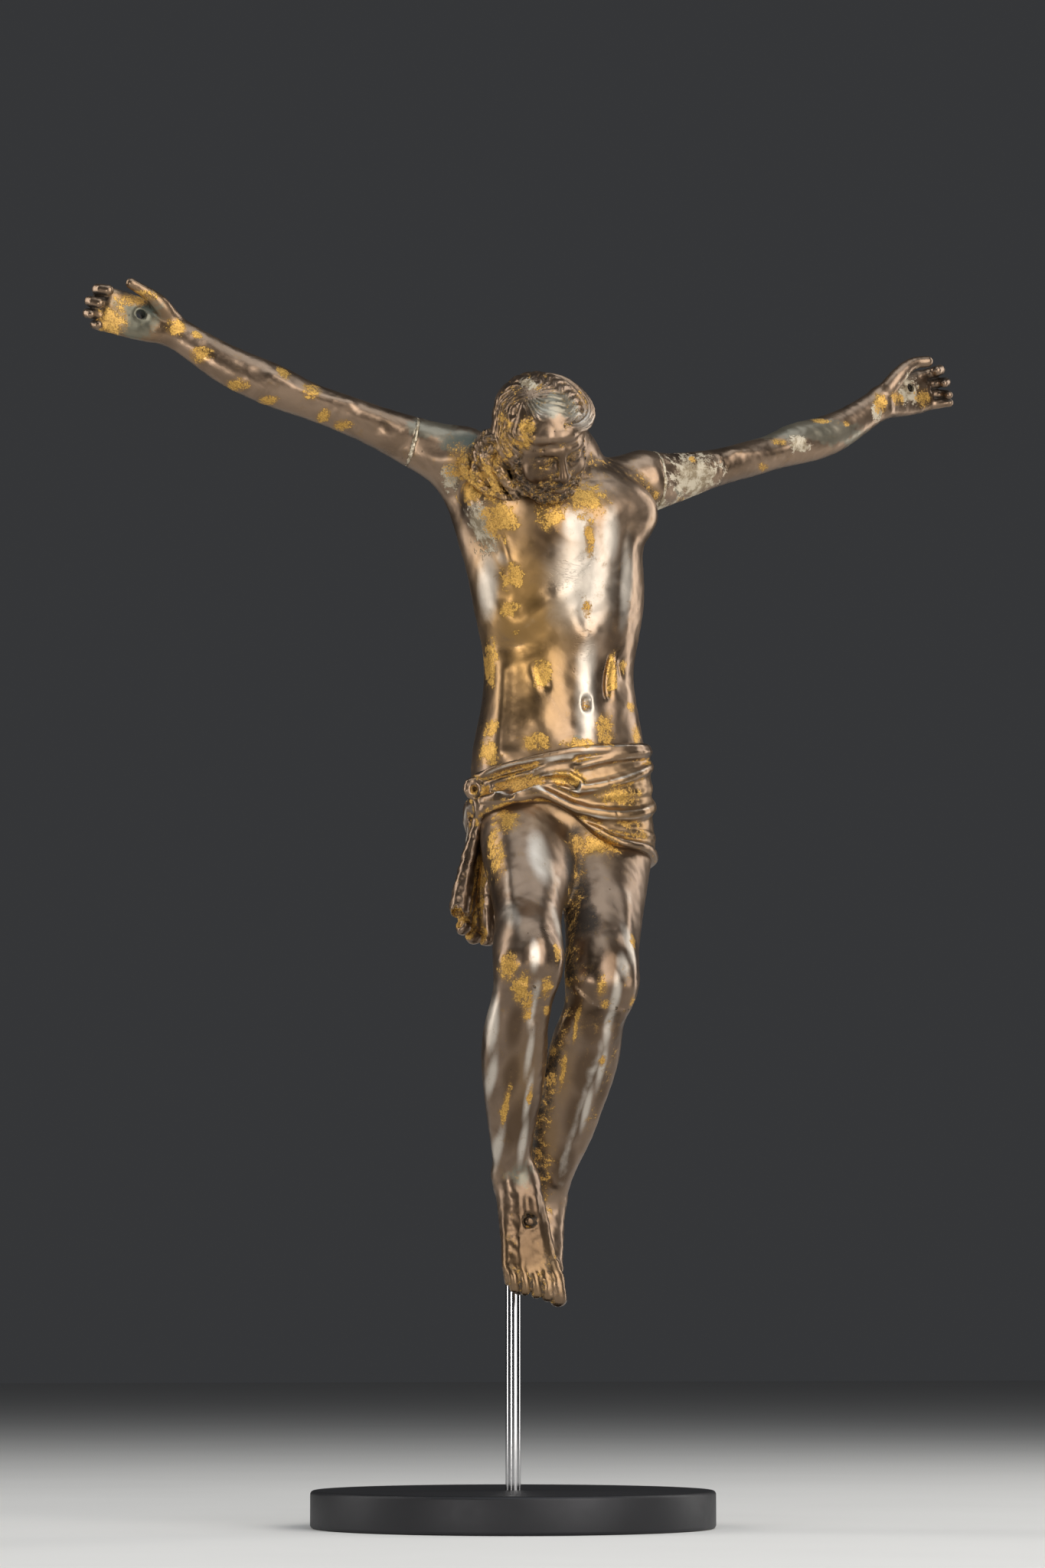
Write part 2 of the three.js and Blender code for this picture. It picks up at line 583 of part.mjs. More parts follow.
function wavyLock(points, radius, swing, phase) {
  // A lock of hair that sways as it falls.
  const line = smoothPath(points, 14);
  const wound = line.map((p, i) => {
    const angle = phase + 9 * i / 14;
    return add(p, [swing * Math.cos(angle), swing * 0.5 * Math.sin(angle), 0]);
  });
  return tube(wound, [radius, radius * 1.1, radius * 0.75], 0.6, 20);
}

const sideLocks = [
  wavyLock([onHead(-13.5, 3, 0), [-23.8, -44, 340], [-22.5, -43, 331], [-17, -43, 326]], 2.2, 1.0, 0.4),
  wavyLock([onHead(-14.2, -2, 0), [-26, -40, 341], [-25.8, -39, 333], [-21, -41, 327]], 2.3, 1.1, 2.0),
  wavyLock([onHead(-13, -7, -2), [-25.5, -35, 344], [-27.5, -34, 337], [-26, -37, 330]], 2.2, 0.9, 3.4),
  wavyLock([onHead(-12.4, 6, -2), [-20.5, -47.5, 339], [-19.5, -46, 331], [-15.5, -45, 326.0]], 1.9, 0.9, 5.0),
  wavyLock([onHead(-11, 8, -3), [-17.5, -49.0, 338], [-16.0, -47.5, 331], [-11.8, -46, 327]], 1.7, 0.8, 1.2)
];

// Loincloth: a rolled cloth round the hips, from the knot on the right hip to its low hem on the left.

const clothThickness = 0.9;
const hipFlattening = 0.45;      // how much lower the folds are on the left hip
const hips = joined([trunk, thighRight, thighLeft, ...seat]);
const hipAxis = [12, -14];
const bearing = (x, y) => Math.atan2(x - hipAxis[0], -(y - hipAxis[1])) * 180 / Math.PI;

function roundHips(...stops) {
  // A height that runs round the hips. Stops: bearing in degrees (0 front, 90 left hip), height.
  const first = stops[0];
  const closed = [...stops, [first[0] + 360, first[1]]];
  const height = spline(closed.map((s) => s[0]), closed.map((s) => s[1]));
  return (angle) => height(angle < first[0] ? angle + 360 : angle);
}

const clothTop = roundHips([-90, 239], [-60, 242.6], [-30, 246.2], [0, 248.9], [30, 250.2], [60, 251.4],
  [90, 251.6], [140, 248], [180, 244], [225, 240.5]);
const clothHem = roundHips([-90, 224], [-69, 227.2], [-45, 230.0], [-28, 229.6], [-10, 225.6], [9, 220.2],
  [27, 216.8], [50, 215.4], [70, 213.0], [90, 211.4], [140, 206], [180, 204], [225, 209]);

// Each fold: half width, height, the bearings it begins and ends at, and its way round the hips.
const folds = [
  [1.9, 1.8, -200, 300, roundHips([-90, 237.0], [-75, 239.2], [-63, 241.7], [-43, 243.9], [-13, 246.6],
    [18, 247.8], [50, 249.4], [90, 249.8], [140, 246], [180, 242], [225, 238])],
  [1.5, 1.5, -11, 66, roundHips([-90, 239], [-10, 241.7], [10, 244.0], [44, 246.8], [90, 248.6],
    [180, 242])],
  [1.9, 2.0, -7, 235, roundHips([-90, 232], [-6, 234.5], [11, 235.9], [30, 238.4], [58, 243.4],
    [90, 245.2], [150, 238.5], [190, 235], [230, 234])],
  [1.7, 0.9, 6, 96, roundHips([-90, 232], [0, 231.8], [16, 233.0], [50, 235.4], [90, 239], [180, 230])],
  [2.3, 2.4, -200, 300, roundHips([-90, 231], [-60, 231.6], [-49, 232.0], [-39, 233.2], [-26, 231.0],
    [-10, 228.2], [10, 226.7], [33, 226.9], [60, 230.3], [90, 232.6], [140, 222], [185, 217], [230, 222])],
  [1.2, 0.8, 14, 80, roundHips([-90, 226], [0, 223.6], [30, 222.4], [60, 221.6], [90, 221], [180, 214])],
  [1.7, 1.8, -8, 300, roundHips([-90, 226], [-30, 226], [-6, 223.4], [9, 221.4], [27, 218.3],
    [53, 216.8], [70, 214.5], [90, 212.8], [140, 207.6], [180, 205.6], [225, 211])],
  [1.3, 1.4, 92, 262, roundHips([-90, 232], [100, 240.4], [150, 232], [190, 228], [230, 229], [250, 230])],
  [1.4, 1.3, 98, 250, roundHips([-90, 232], [100, 228], [150, 219], [190, 213], [230, 217], [250, 221])],
  [1.2, 1.2, -80, -30, roundHips([-90, 235], [-57, 237.9], [-39, 240.2], [-20, 242], [90, 245], [180, 240])]
];
const drape = [
  stroke([[-16.5, -29, 233.8], [-9.3, -33.6, 236.2], [-3.4, -35.6, 238.3], [2.5, -36.8, 239.4],
    [7.2, -37, 238.6], [10.0, -36.6, 235.8], [8.4, -37, 233.6]], 1.15, 1.4, 0.6),
  stroke([[-11.8, -34.3, 232.8], [-7.6, -34.9, 235.1], [-0.2, -36.2, 235.9], [6.8, -36.9, 234.0]], 1.0,
    1.0, 0.6),
  stroke([[-5.4, -35.4, 240.8], [0.5, -36.6, 243.2], [6.5, -37.2, 244.2]], 0.9, 0.9, 0.6),
  stroke([[-1.5, -36, 237.2], [5.5, -37, 236.6]], 1.0, -0.7, 0.6),
  stroke([[-16, -26, 229.6], [-8, -31, 229.4], [-2, -33, 228.4]], 1.3, 0.6, 0.6),
  stroke([[18.0, -38, 243.2], [19.6, -38, 234], [22.4, -38, 225.6]], 0.28, -0.3, 0.6)
];

function cloth(x, y, z) {
  const angle = bearing(x, y);
  const round = angle < -90 ? angle + 360 : angle;
  let d = hips(x, y, z) - clothThickness;
  if (d > 6) return d;
  const lower = 1 - hipFlattening * Math.exp(-(((round - 84) / 24) ** 2));
  for (const [width, height, first, last, way] of folds) {
    const ends = 1 / ((1 + Math.exp((first - round) / 2)) * (1 + Math.exp((round - last) / 5)));
    d -= height * ends * lower * Math.exp(-(Math.abs((z - way(angle)) / width) ** 2.8));
  }
  d -= raised(drape, x, y, z);
  const above = z - clothTop(angle);
  const below = clothHem(angle) - z;
  return -blend(-d, blend(-above, -below, 1), 1.2);
}

function loopOfCloth(centre, radius, thickness) {
  // A rolled loop that faces the front right.
  const right = [0.94, -0.34, 0];
  const ring = Array.from({ length: 9 }, (_, i) => {
    const t = i * Math.PI / 4;
    return add(centre, add(times(right, radius * Math.cos(t)), [0, 0, 1.15 * radius * Math.sin(t)]));
  });
  return tube(ring, [thickness, thickness * 1.15, thickness * 0.85, thickness], 0.5, 14);
}

const knot = [
  tube([[-15, -20, 239], [-17.8, -19, 235.5], [-17, -19.5, 231.5]], [3.0, 3.2, 2.8], 1.0),
  loopOfCloth([-20.8, -20.4, 235.2], 2.1, 1.35),
  loopOfCloth([-14.2, -25.4, 235.0], 1.9, 1.2),
  tube([[-12.6, -27.4, 233.6], [-15.6, -25.6, 230.4], [-18.2, -22.6, 228.4]], [1.7, 1.9, 1.5], 0.6),
  tube([[-19.4, -19.6, 239.2], [-16.0, -23.0, 239.9], [-10.5, -28.5, 239.0]], [1.4, 1.8, 1.6], 0.8),
  tube([[-19.6, -20.4, 231.6], [-18.6, -20.6, 228.6], [-18.2, -19.0, 225.6]], [1.6, 2.1, 1.7], 0.6)
];
const clothEnd = [
  tube([[-17.6, -18, 229], [-20.2, -17, 217], [-22.8, -16.5, 205], [-24.0, -16, 197.0]],
    [1.7, 2.3, 2.9, 3.4], 0.7, 10),
  tube([[-16, -15.5, 229], [-18.2, -14.4, 214], [-20.0, -13.5, 202], [-21.6, -14.0, 193.0]],
    [1.8, 2.2, 2.7, 2.4], 0.6, 10),
  tube([[-14.4, -13.4, 228], [-16.4, -12.4, 212], [-17.6, -12, 200], [-17.0, -12.4, 189.2]],
    [2.2, 2.5, 2.7, 2.3], 0.6, 10),
  tube([[-12.6, -16, 222], [-13.6, -14.6, 208], [-13.6, -13.4, 198], [-13.2, -13.4, 189.6]],
    [2.4, 2.5, 2.8, 2.4], 0.6, 10),
  egg([-22.6, -15.6, 190.9], [2.5, 2.6, 2.5], 0.6),
  egg([-18.4, -13.8, 188.0], [2.7, 2.4, 2.2], 0.6),
  egg([-13.6, -13.2, 187.4], [2.5, 2.3, 2.1], 0.6)
];
const clothMouths = [
  tube([[-25.6, -17.2, 192.6], [-24.2, -16.6, 199.5]], [2.3, 1.6], 0.6),
  tube([[-21.6, -22.6, 235.2], [-20.2, -19.4, 235.2]], [1.0, 0.8], 0.5),
  tube([[-19.6, -16.8, 186.0], [-19.2, -16.0, 196.0]], [0.9, 0.4], 0.7),
  tube([[-15.4, -15.8, 185.0], [-15.6, -15.6, 197.0]], [0.9, 0.4], 0.7),
  tube([[-21.8, -19.0, 193.4], [-22.6, -18.6, 194.6]], [0.8, 0.8], 0.5)
];

// Relief of the body

const chest = [
  stroke([[-27.7, -37, 328], [-23.4, -37, 319], [-18.7, -38, 314], [-15.5, -38, 307]], 2.4, 0.9, 0.5),
  stroke([[-31, -34, 327], [-27, -34, 318], [-23, -34, 311], [-18.5, -35, 303], [-16.5, -35, 296]], 2.6,
    -0.9, 0.5),
  stroke([[-13, -42, 325], [-9.5, -42, 315], [-8.5, -42, 305], [-6, -41, 297]], 5.4, -1.2, 0.5),
  stroke([[0, -44, 322], [4, -43, 312], [6, -42, 300], [9, -40, 290]], 6.5, 1.0, 0.5),
  stroke([[-18, -36, 300], [-16.4, -35, 291.5], [-12.0, -34, 286.8], [-6.5, -37, 289.5], [-2, -40, 295]],
    3.8, 1.1, 0.5),
  stroke([[-15, -34, 279], [-7, -35, 281], [-1, -38, 286]], 4.2, -0.9, 0.5),
  stroke([[1.6, -40.5, 295.8], [4.6, -38.6, 288], [10.2, -37.7, 283.6], [16.6, -37.7, 287],
    [21.0, -38.3, 293.5]], 4.0, 0.7, 0.5),
  stroke([[10.0, -40, 295.5], [10.5, -38, 288]], 2.8, -0.6, 0.5),
  stroke([[12.4, -44, 316], [12.8, -43, 303]], 4.4, -0.9, 0.5),
  stroke([[17.6, -43.5, 322], [18.6, -43, 313], [18.0, -42, 304], [16.6, -40, 297]], 5.0, 0.8, 0.5),
  stroke([[22.8, -41, 318], [22.2, -41, 307], [21.8, -39, 296]], 3.8, -0.5, 0.5),
  stroke([[26.4, -38, 314], [26.2, -38, 303], [25.2, -36, 288]], 3.4, 0.5, 0.5)
];
const belly = [
  stroke([[10.2, -38, 282], [11.6, -36, 266], [12.6, -36, 250]], 6.0, 1.1, 0.5),
  stroke([[4.0, -38, 278], [5.0, -36, 268], [6.4, -36, 254]], 3.6, -0.5, 0.5),
  stroke([[16.8, -37, 277], [17.6, -36, 268], [18.4, -36, 256]], 3.0, -0.6, 0.5),
  stroke([[11.6, -36, 263.4], [11.7, -36, 261.0]], 1.2, -2.2, 0.5),
  stroke([[11.6, -36, 266.4], [9.7, -36, 262.4], [11.7, -36, 258.4], [13.6, -36, 262.2]], 1.0, 0.18, 0.5),
  stroke([[-4.0, -34.5, 273.5], [-1.9, -34.7, 267.5]], 1.7, -0.9, 0.5),
  stroke([[20.9, -34.5, 278], [19.4, -34.7, 271], [19.6, -34.5, 265.4]], 1.1, -1.0, 0.5),
  stroke([[24.4, -34.5, 276], [25.6, -33.7, 272.5]], 0.9, -0.8, 0.5),
  stroke([[22.6, -34.5, 276], [22.4, -34, 268]], 1.3, 0.5, 0.5),
  stroke([[-13.5, -27.6, 273], [-14.7, -26.7, 247]], 2.4, 0.7, 0.6),
  stroke([[-10.4, -31, 272], [-10.2, -31, 262], [-11.3, -30, 250]], 3.6, -0.6, 0.5),
  stroke([[-4, -36, 257], [4, -36, 249], [12, -36, 246]], 4.6, 0.7, 0.5),
  stroke([[18, -34, 257], [24, -31, 261], [29, -27, 267]], 3.2, 0.6, 0.5)
];
const legRelief = [
  stroke([[-6, -47, 206], [-10, -57, 192], [-13.5, -63.5, 183]], 3.2, 0.7),
  stroke([[-17.5, -44, 204], [-20.0, -52, 191], [-21.4, -58, 180], [-20.6, -59.5, 173]], 3.0, 0.8),
  stroke([[-2.6, -46, 200], [-5.4, -54, 189], [-8.2, -60, 180], [-9.6, -60.5, 173]], 3.0, 0.8),
  stroke([[-16.0, -56, 190], [-18.4, -60, 182], [-18.9, -61, 176], [-17.8, -60, 169]], 2.0, -0.6),
  stroke([[-10.0, -58, 189], [-11.9, -62, 182], [-12.2, -62.5, 176], [-12.8, -61, 169]], 2.0, -0.6),
  stroke([[-15.6, -62, 171], [-15.0, -58, 161]], 1.7, 1.1),
  stroke([[22, -42, 198], [19.8, -51, 187], [18.6, -56.5, 178], [18.0, -56.5, 171]], 3.0, 0.8),
  stroke([[10.0, -42, 196], [9.0, -50, 185], [8.0, -55, 177], [8.4, -55, 169]], 3.0, 0.7),
  stroke([[17.4, -52, 187], [17.2, -57, 179], [17.4, -57.5, 172], [16.2, -56.5, 165]], 2.0, -0.6),
  stroke([[11.4, -51, 185], [10.8, -56, 178], [10.6, -56.8, 172], [11.6, -56, 165]], 2.0, -0.6),
  stroke([[13.8, -57, 167], [13.4, -53, 158]], 1.7, 1.1),
  stroke([[-14.6, -56, 160], [-13.2, -50, 146], [-11.6, -42, 130], [-10.4, -35, 116]], 2.2, 0.9),
  stroke([[-19.4, -50, 158], [-18.6, -44, 146], [-16.0, -37, 132]], 3.0, -0.7),
  stroke([[-8.4, -50, 156], [-7.6, -44, 144], [-7.4, -36, 130]], 2.6, -0.6),
  stroke([[12.6, -51, 156], [9.6, -43, 140], [7.4, -34, 124], [5.8, -25, 110]], 2.2, 0.9),
  stroke([[17.8, -46, 152], [15.0, -38, 138], [11.6, -30, 124]], 2.8, -0.6),
  stroke([[-5.2, -35.5, 104], [-2.6, -37, 92], [-0.6, -37, 82]], 1.6, 0.5),
  stroke([[-8.4, -35.5, 104], [-6.8, -37, 92], [-5.6, -37, 82]], 1.3, -0.4),
  stroke([[-10.2, -35, 104], [-10.4, -36, 92], [-10.2, -36, 82]], 1.6, 0.4),
  stroke([[-15.4, -28, 112], [-14.8, -27, 108]], 2.4, 1.0),
  stroke([[-3.4, -30, 110], [-3.4, -28, 106]], 2.2, 0.9)
];
const arms = [
  stroke([[-29, -32, 346], [-37, -31, 343], [-46, -28, 345]], 2.6, -0.7, 0.6),
  stroke([[-64, -24, 358], [-76, -22, 360], [-88, -18, 366]], 2.4, 0.7, 0.6),
  stroke([[-56, -26, 349], [-66, -24, 351], [-76, -21, 356]], 2.4, -0.6, 0.6),
  stroke([[44, -29, 341], [52, -28, 338], [60, -25, 340]], 2.6, -0.7, 0.6),
  stroke([[70, -22, 352], [84, -20, 352], [98, -15, 358]], 2.4, 0.7, 0.6)
];
const back = [
  stroke([[4.6, -6, 336], [5.4, -3, 320], [7.6, -3, 296], [9.0, -2.6, 272], [10.0, 1, 250]],
    3.2, -1.5, 0.4),
  stroke([[-4, -3, 300], [0, -3, 280], [1, 0, 256]], 4.0, 0.7, 0.4),
  stroke([[17, -3, 300], [17.5, -3, 280], [19, 0, 256]], 4.0, 0.7, 0.4),
  stroke([[-7, -2, 334], [-9, -1, 322], [-15, -2, 311]], 2.4, 0.8, 0.5),
  stroke([[17.5, -2, 333], [19.5, -1, 321], [25.5, -2, 310]], 2.4, 0.8, 0.5)
];
const relief = [...back, ...chest, ...belly, ...legRelief, ...arms];

// The whole figure

const flesh = joined([
  trunk, ...shoulders, upperArmRight, upperArmLeft, ...handRight, ...handLeft,
  ...seat, ...legs, ...neck, ...skull
]);
const faceForms = joined(features);
const hairForms = joined(hair);
const forelockForms = joined(forelock);
const curlyForms = joined([...beard, ...sideLocks]);
const knotForms = joined([...knot, ...clothEnd]);
const headBall = [...headCentre, 30];
const hipBall = [8, -14, 222, 62];

function figure(x, y, z) {
  let d = flesh(x, y, z) - raised(relief, x, y, z);
  if (outside(headBall, x, y, z) < 6) {
    for (const socket of sockets) {
      const cut = -socket.at(x, y, z);
      d = -blend(-d, -cut, 2);
    }
    d = blend(d, faceForms(x, y, z), 1.4);
    const crown = blend(hairForms(x, y, z) - strands(x, y, z), hairEdge.at(x, y, z), 3);
    d = blend(d, crown, 0.8);
    d = blend(d, forelockForms(x, y, z), 1.0);
    d = blend(d, curlyForms(x, y, z) - curls(x, y, z), 1.2);
  }
  if (outside(hipBall, x, y, z) < 6) {
    d = blend(d, cloth(x, y, z), 0.8);
    d = blend(d, knotForms(x, y, z), 0.9);
    for (const mouth of clothMouths) d = -blend(-d, mouth.at(x, y, z), 0.6);
  }
  return d;
}

// Surface of a field: cubes split into six tetrahedra each, so that the mesh is always closed.

const corners = [0, 1, 2, 3, 4, 5, 6, 7].map((c) => [c & 1, (c >> 1) & 1, c >> 2]);
const tetrahedra = [[0, 1, 3, 7], [0, 5, 1, 7], [0, 3, 2, 7], [0, 2, 6, 7], [0, 4, 5, 7], [0, 6, 4, 7]];
const oneIn = [[0, 1, 2, 3], [1, 0, 3, 2], [2, 3, 0, 1], [3, 2, 1, 0]];
const twoIn = [[0, 1, 2, 3], [0, 2, 3, 1], [0, 3, 1, 2], [1, 2, 0, 3], [1, 3, 2, 0], [2, 3, 0, 1]];

function surface(field, low, high, step) {
  const count = low.map((v, a) => Math.ceil((high[a] - v) / step) + 1);
  const stride = [1, count[0], count[0] * count[1]];
  const values = new Float32Array(count[0] * count[1] * count[2]).fill(NaN);
  const crossings = new Map();
  const points = [];
  const triangles = [];
  const place = (node) => [
    low[0] + step * (node % count[0]),
    low[1] + step * (Math.floor(node / count[0]) % count[1]),
    low[2] + step * Math.floor(node / stride[2])
  ];
  const value = (node) => {
    if (Number.isNaN(values[node])) values[node] = field(...place(node));
    return values[node];
  };
  const crossing = (a, b) => {
    const key = Math.min(a, b) * 8 + codes.get(Math.abs(a - b));
    let index = crossings.get(key);
    if (index === undefined) {
      const t = Math.min(Math.max(value(a) / (value(a) - value(b)), 0.08), 0.92);
      const pa = place(a);
      const pb = place(b);
      index = points.length / 3;
      points.push(mix(pa[0], pb[0], t), mix(pa[1], pb[1], t), mix(pa[2], pb[2], t));
      crossings.set(key, index);
    }
    return index;
  };
  const codes = new Map();
  const offsets = corners.map((c) => dot(c, stride));
  offsets.forEach((offset, c) => codes.set(offset, c));
  const block = 5;
  const near = block * step * 1.2 + 4;
  const cutCube = (base) => {
    let inside = 0;
    for (let c = 0; c < 8; c++) if (value(base + offsets[c]) < 0) inside++;
    if (inside === 0 || inside === 8) return;
    for (const tetra of tetrahedra) {
      const nodes = tetra.map((c) => base + offsets[c]);
      const within = nodes.map((node) => value(node) < 0);
      const total = within.filter(Boolean).length;
      if (total === 1 || total === 3) {
        const [a, b, c, d] = oneIn[within.indexOf(total === 1)].map((n) => nodes[n]);
        const face = [crossing(a, b), crossing(a, c), crossing(a, d)];
        triangles.push(...(total === 1 ? face : face.reverse()));
      } else if (total === 2) {
        const [a, b, c, d] = twoIn.find((o) => within[o[0]] && within[o[1]]).map((n) => nodes[n]);
        const start = crossing(a, c);
        const end = crossing(b, d);
        triangles.push(start, crossing(a, d), end, start, end, crossing(b, c));
      }
    }
  };
  const last = count.map((n) => n - 1);
  const cutBlock = (i, j, k) => {
    const middle = [i, j, k].map((n, a) => low[a] + step * (n + block / 2));
    if (Math.abs(field(...middle)) > near) return;
    for (let z = k; z < Math.min(k + block, last[2]); z++) {
      for (let y = j; y < Math.min(j + block, last[1]); y++) {
        for (let x = i; x < Math.min(i + block, last[0]); x++) cutCube(x + y * stride[1] + z * stride[2]);
      }
    }
  };
  for (let k = 0; k < last[2]; k += block) {
    for (let j = 0; j < last[1]; j += block) {
      for (let i = 0; i < last[0]; i += block) cutBlock(i, j, k);
    }
  }
  return { points, triangles };
}

function outerShell({ points, triangles }) {
  // Keeps the largest connected surface, so that no bubble stays where forms meet.
  const parent = Int32Array.from({ length: points.length / 3 }, (_, i) => i);
  const rootOf = (start) => {
    let v = start;
    while (parent[v] !== v) {
      parent[v] = parent[parent[v]];
      v = parent[v];
    }
    return v;
  };
  for (let i = 0; i < triangles.length; i += 3) {
    parent[rootOf(triangles[i])] = rootOf(triangles[i + 1]);
    parent[rootOf(triangles[i + 1])] = rootOf(triangles[i + 2]);
  }
  const sizes = new Map();
  for (const v of triangles) sizes.set(rootOf(v), (sizes.get(rootOf(v)) ?? 0) + 1);
  const largest = [...sizes].reduce((best, entry) => (entry[1] > best[1] ? entry : best))[0];
  return { points, triangles: triangles.filter((v, i) => rootOf(triangles[i - i % 3]) === largest) };
}

// Thinning: edges are taken out in order of the harm they do, by the sum of squared plane distances.

function heapOf(capacity) {
  // A binary heap of numbered offers, cheapest first.
  const cost = new Float64Array(capacity);
  const item = new Int32Array(capacity);
  let size = 0;
  return {
    get size() { return size; },
    push(c, n) {
      let i = size++;
      while (i > 0) {
        const parent = (i - 1) >> 1;
        if (cost[parent] <= c) break;
        cost[i] = cost[parent];
        item[i] = item[parent];
        i = parent;
      }
      cost[i] = c;
      item[i] = n;
    },
    pop() {
      const top = item[0];
      size--;
      const c = cost[size];
      const n = item[size];
      let i = 0;
      for (let child = 1; child < size; child = 2 * i + 1) {
        if (child + 1 < size && cost[child + 1] < cost[child]) child++;
        if (cost[child] >= c) break;
        cost[i] = cost[child];
        item[i] = item[child];
        i = child;
      }
      cost[i] = c;
      item[i] = n;
      return top;
    }
  };
}

function thin({ points, triangles }, budget) {
  const total = points.length / 3;
  const p = Float64Array.from(points);
  const faces = Int32Array.from(triangles);
  const faceCount = faces.length / 3;
  const q = new Float64Array(total * 10);
  const around = Array.from({ length: total }, () => []);
  const n = [0, 0, 0];
  const normal = (a, b, c) => {
    const ux = p[b * 3] - p[a * 3];
    const uy = p[b * 3 + 1] - p[a * 3 + 1];
    const uz = p[b * 3 + 2] - p[a * 3 + 2];
    const vx = p[c * 3] - p[a * 3];
    const vy = p[c * 3 + 1] - p[a * 3 + 1];
    const vz = p[c * 3 + 2] - p[a * 3 + 2];
    n[0] = uy * vz - uz * vy;
    n[1] = uz * vx - ux * vz;
    n[2] = ux * vy - uy * vx;
    return span3(n[0], n[1], n[2]);
  };
  for (let f = 0; f < faceCount; f++) {
    const a = faces[f * 3];
    const size = normal(a, faces[f * 3 + 1], faces[f * 3 + 2]) || 1e-12;
    const [x, y, z] = [n[0] / size, n[1] / size, n[2] / size];
    const w = -(x * p[a * 3] + y * p[a * 3 + 1] + z * p[a * 3 + 2]);
    const terms = [x * x, x * y, x * z, x * w, y * y, y * z, y * w, z * z, z * w, w * w];
    for (let c = 0; c < 3; c++) {
      const v = faces[f * 3 + c];
      around[v].push(f);
      for (let i = 0; i < 10; i++) q[v * 10 + i] += terms[i] * size;
    }
  }
  const capacity = faceCount * 12;
  const heap = heapOf(capacity);
  const offerFrom = new Int32Array(capacity);
  const offerTo = new Int32Array(capacity);
  const offerAge = new Int32Array(capacity);
  const offerSpot = new Float64Array(capacity * 3);
  const stamp = new Int32Array(total);
  const gone = new Uint8Array(total);
  const dead = new Uint8Array(faceCount);
  const m = new Float64Array(10);
  let offers = 0;
  const offer = (a, b) => {
    if (offers >= capacity) return;
    for (let i = 0; i < 10; i++) m[i] = q[a * 10 + i] + q[b * 10 + i];
    const mx = (p[a * 3] + p[b * 3]) / 2;
    const my = (p[a * 3 + 1] + p[b * 3 + 1]) / 2;
    const mz = (p[a * 3 + 2] + p[b * 3 + 2]) / 2;
    const span = 4 * ((p[a * 3] - mx) ** 2 + (p[a * 3 + 1] - my) ** 2 + (p[a * 3 + 2] - mz) ** 2);
    // A weak pull to the middle keeps the system solvable where the surface is flat.
    const pull = 1e-3 * (m[0] + m[4] + m[7]);
    const a00 = m[0] + pull;
    const a11 = m[4] + pull;
    const a22 = m[7] + pull;
    const r0 = pull * mx - m[3];
    const r1 = pull * my - m[6];
    const r2 = pull * mz - m[8];
    const c00 = a11 * a22 - m[5] * m[5];
    const c01 = m[2] * m[5] - m[1] * a22;
    const c02 = m[1] * m[5] - m[2] * a11;
    const c11 = a00 * a22 - m[2] * m[2];
    const c12 = m[1] * m[2] - a00 * m[5];
    const c22 = a00 * a11 - m[1] * m[1];
    const det = a00 * c00 + m[1] * c01 + m[2] * c02;
    let x = (c00 * r0 + c01 * r1 + c02 * r2) / det;
    let y = (c01 * r0 + c11 * r1 + c12 * r2) / det;
    let z = (c02 * r0 + c12 * r1 + c22 * r2) / det;
    if (!((x - mx) ** 2 + (y - my) ** 2 + (z - mz) ** 2 < 4 * span + 1e-9)) {
      x = mx;
      y = my;
      z = mz;
    }
    const harm = m[0] * x * x + m[4] * y * y + m[7] * z * z + m[9]
      + 2 * (m[1] * x * y + m[2] * x * z + m[5] * y * z + m[3] * x + m[6] * y + m[8] * z);
    offerFrom[offers] = a;
    offerTo[offers] = b;
    offerAge[offers] = stamp[a] + stamp[b];
    offerSpot[offers * 3] = x;
    offerSpot[offers * 3 + 1] = y;
    offerSpot[offers * 3 + 2] = z;
    heap.push(Math.max(harm, 0) + 2e-4 * span * span, offers);
    offers++;
  };
  for (let i = 0; i < faces.length; i++) {
    const next = i % 3 === 2 ? i - 2 : i + 1;
    if (faces[i] < faces[next]) offer(faces[i], faces[next]);
  }
  const seen = new Int32Array(total);
  let round = 0;
  const sharedNeighbours = (a, b) => {
    round += 2;
    let shared = 0;
    for (const f of around[a]) for (let i = f * 3; i < f * 3 + 3; i++) seen[faces[i]] = round;
    for (const f of around[b]) {
      for (let i = f * 3; i < f * 3 + 3; i++) {
        const v = faces[i];
        if (v !== a && v !== b && seen[v] === round) {
          seen[v] = round + 1;
          shared++;
        }
      }
    }
    return shared;
  };
  const turnsOver = (v, other, spot) => {
    for (const f of around[v]) {
      const i = f * 3;
      if (faces[i] === other || faces[i + 1] === other || faces[i + 2] === other) continue;
      const before = normal(faces[i], faces[i + 1], faces[i + 2]);
      const bx = n[0];
      const by = n[1];
      const bz = n[2];
      const x = p[v * 3];
      const y = p[v * 3 + 1];
      const z = p[v * 3 + 2];
      p[v * 3] = offerSpot[spot];
      p[v * 3 + 1] = offerSpot[spot + 1];
      p[v * 3 + 2] = offerSpot[spot + 2];
      const after = normal(faces[i], faces[i + 1], faces[i + 2]);
      p[v * 3] = x;
      p[v * 3 + 1] = y;
      p[v * 3 + 2] = z;
      if (bx * n[0] + by * n[1] + bz * n[2] < 0.25 * before * after || after < 1e-5) return true;
    }
    return false;
  };
  let left = faceCount;
  while (left > budget && heap.size > 0) {
    const chosen = heap.pop();
    const a = offerFrom[chosen];
    const b = offerTo[chosen];
    if (gone[a] || gone[b] || stamp[a] + stamp[b] !== offerAge[chosen]) continue;
    if (sharedNeighbours(a, b) !== 2 || around[a].length + around[b].length < 7) continue;
    if (turnsOver(a, b, chosen * 3) || turnsOver(b, a, chosen * 3)) continue;
    for (const f of around[b]) {
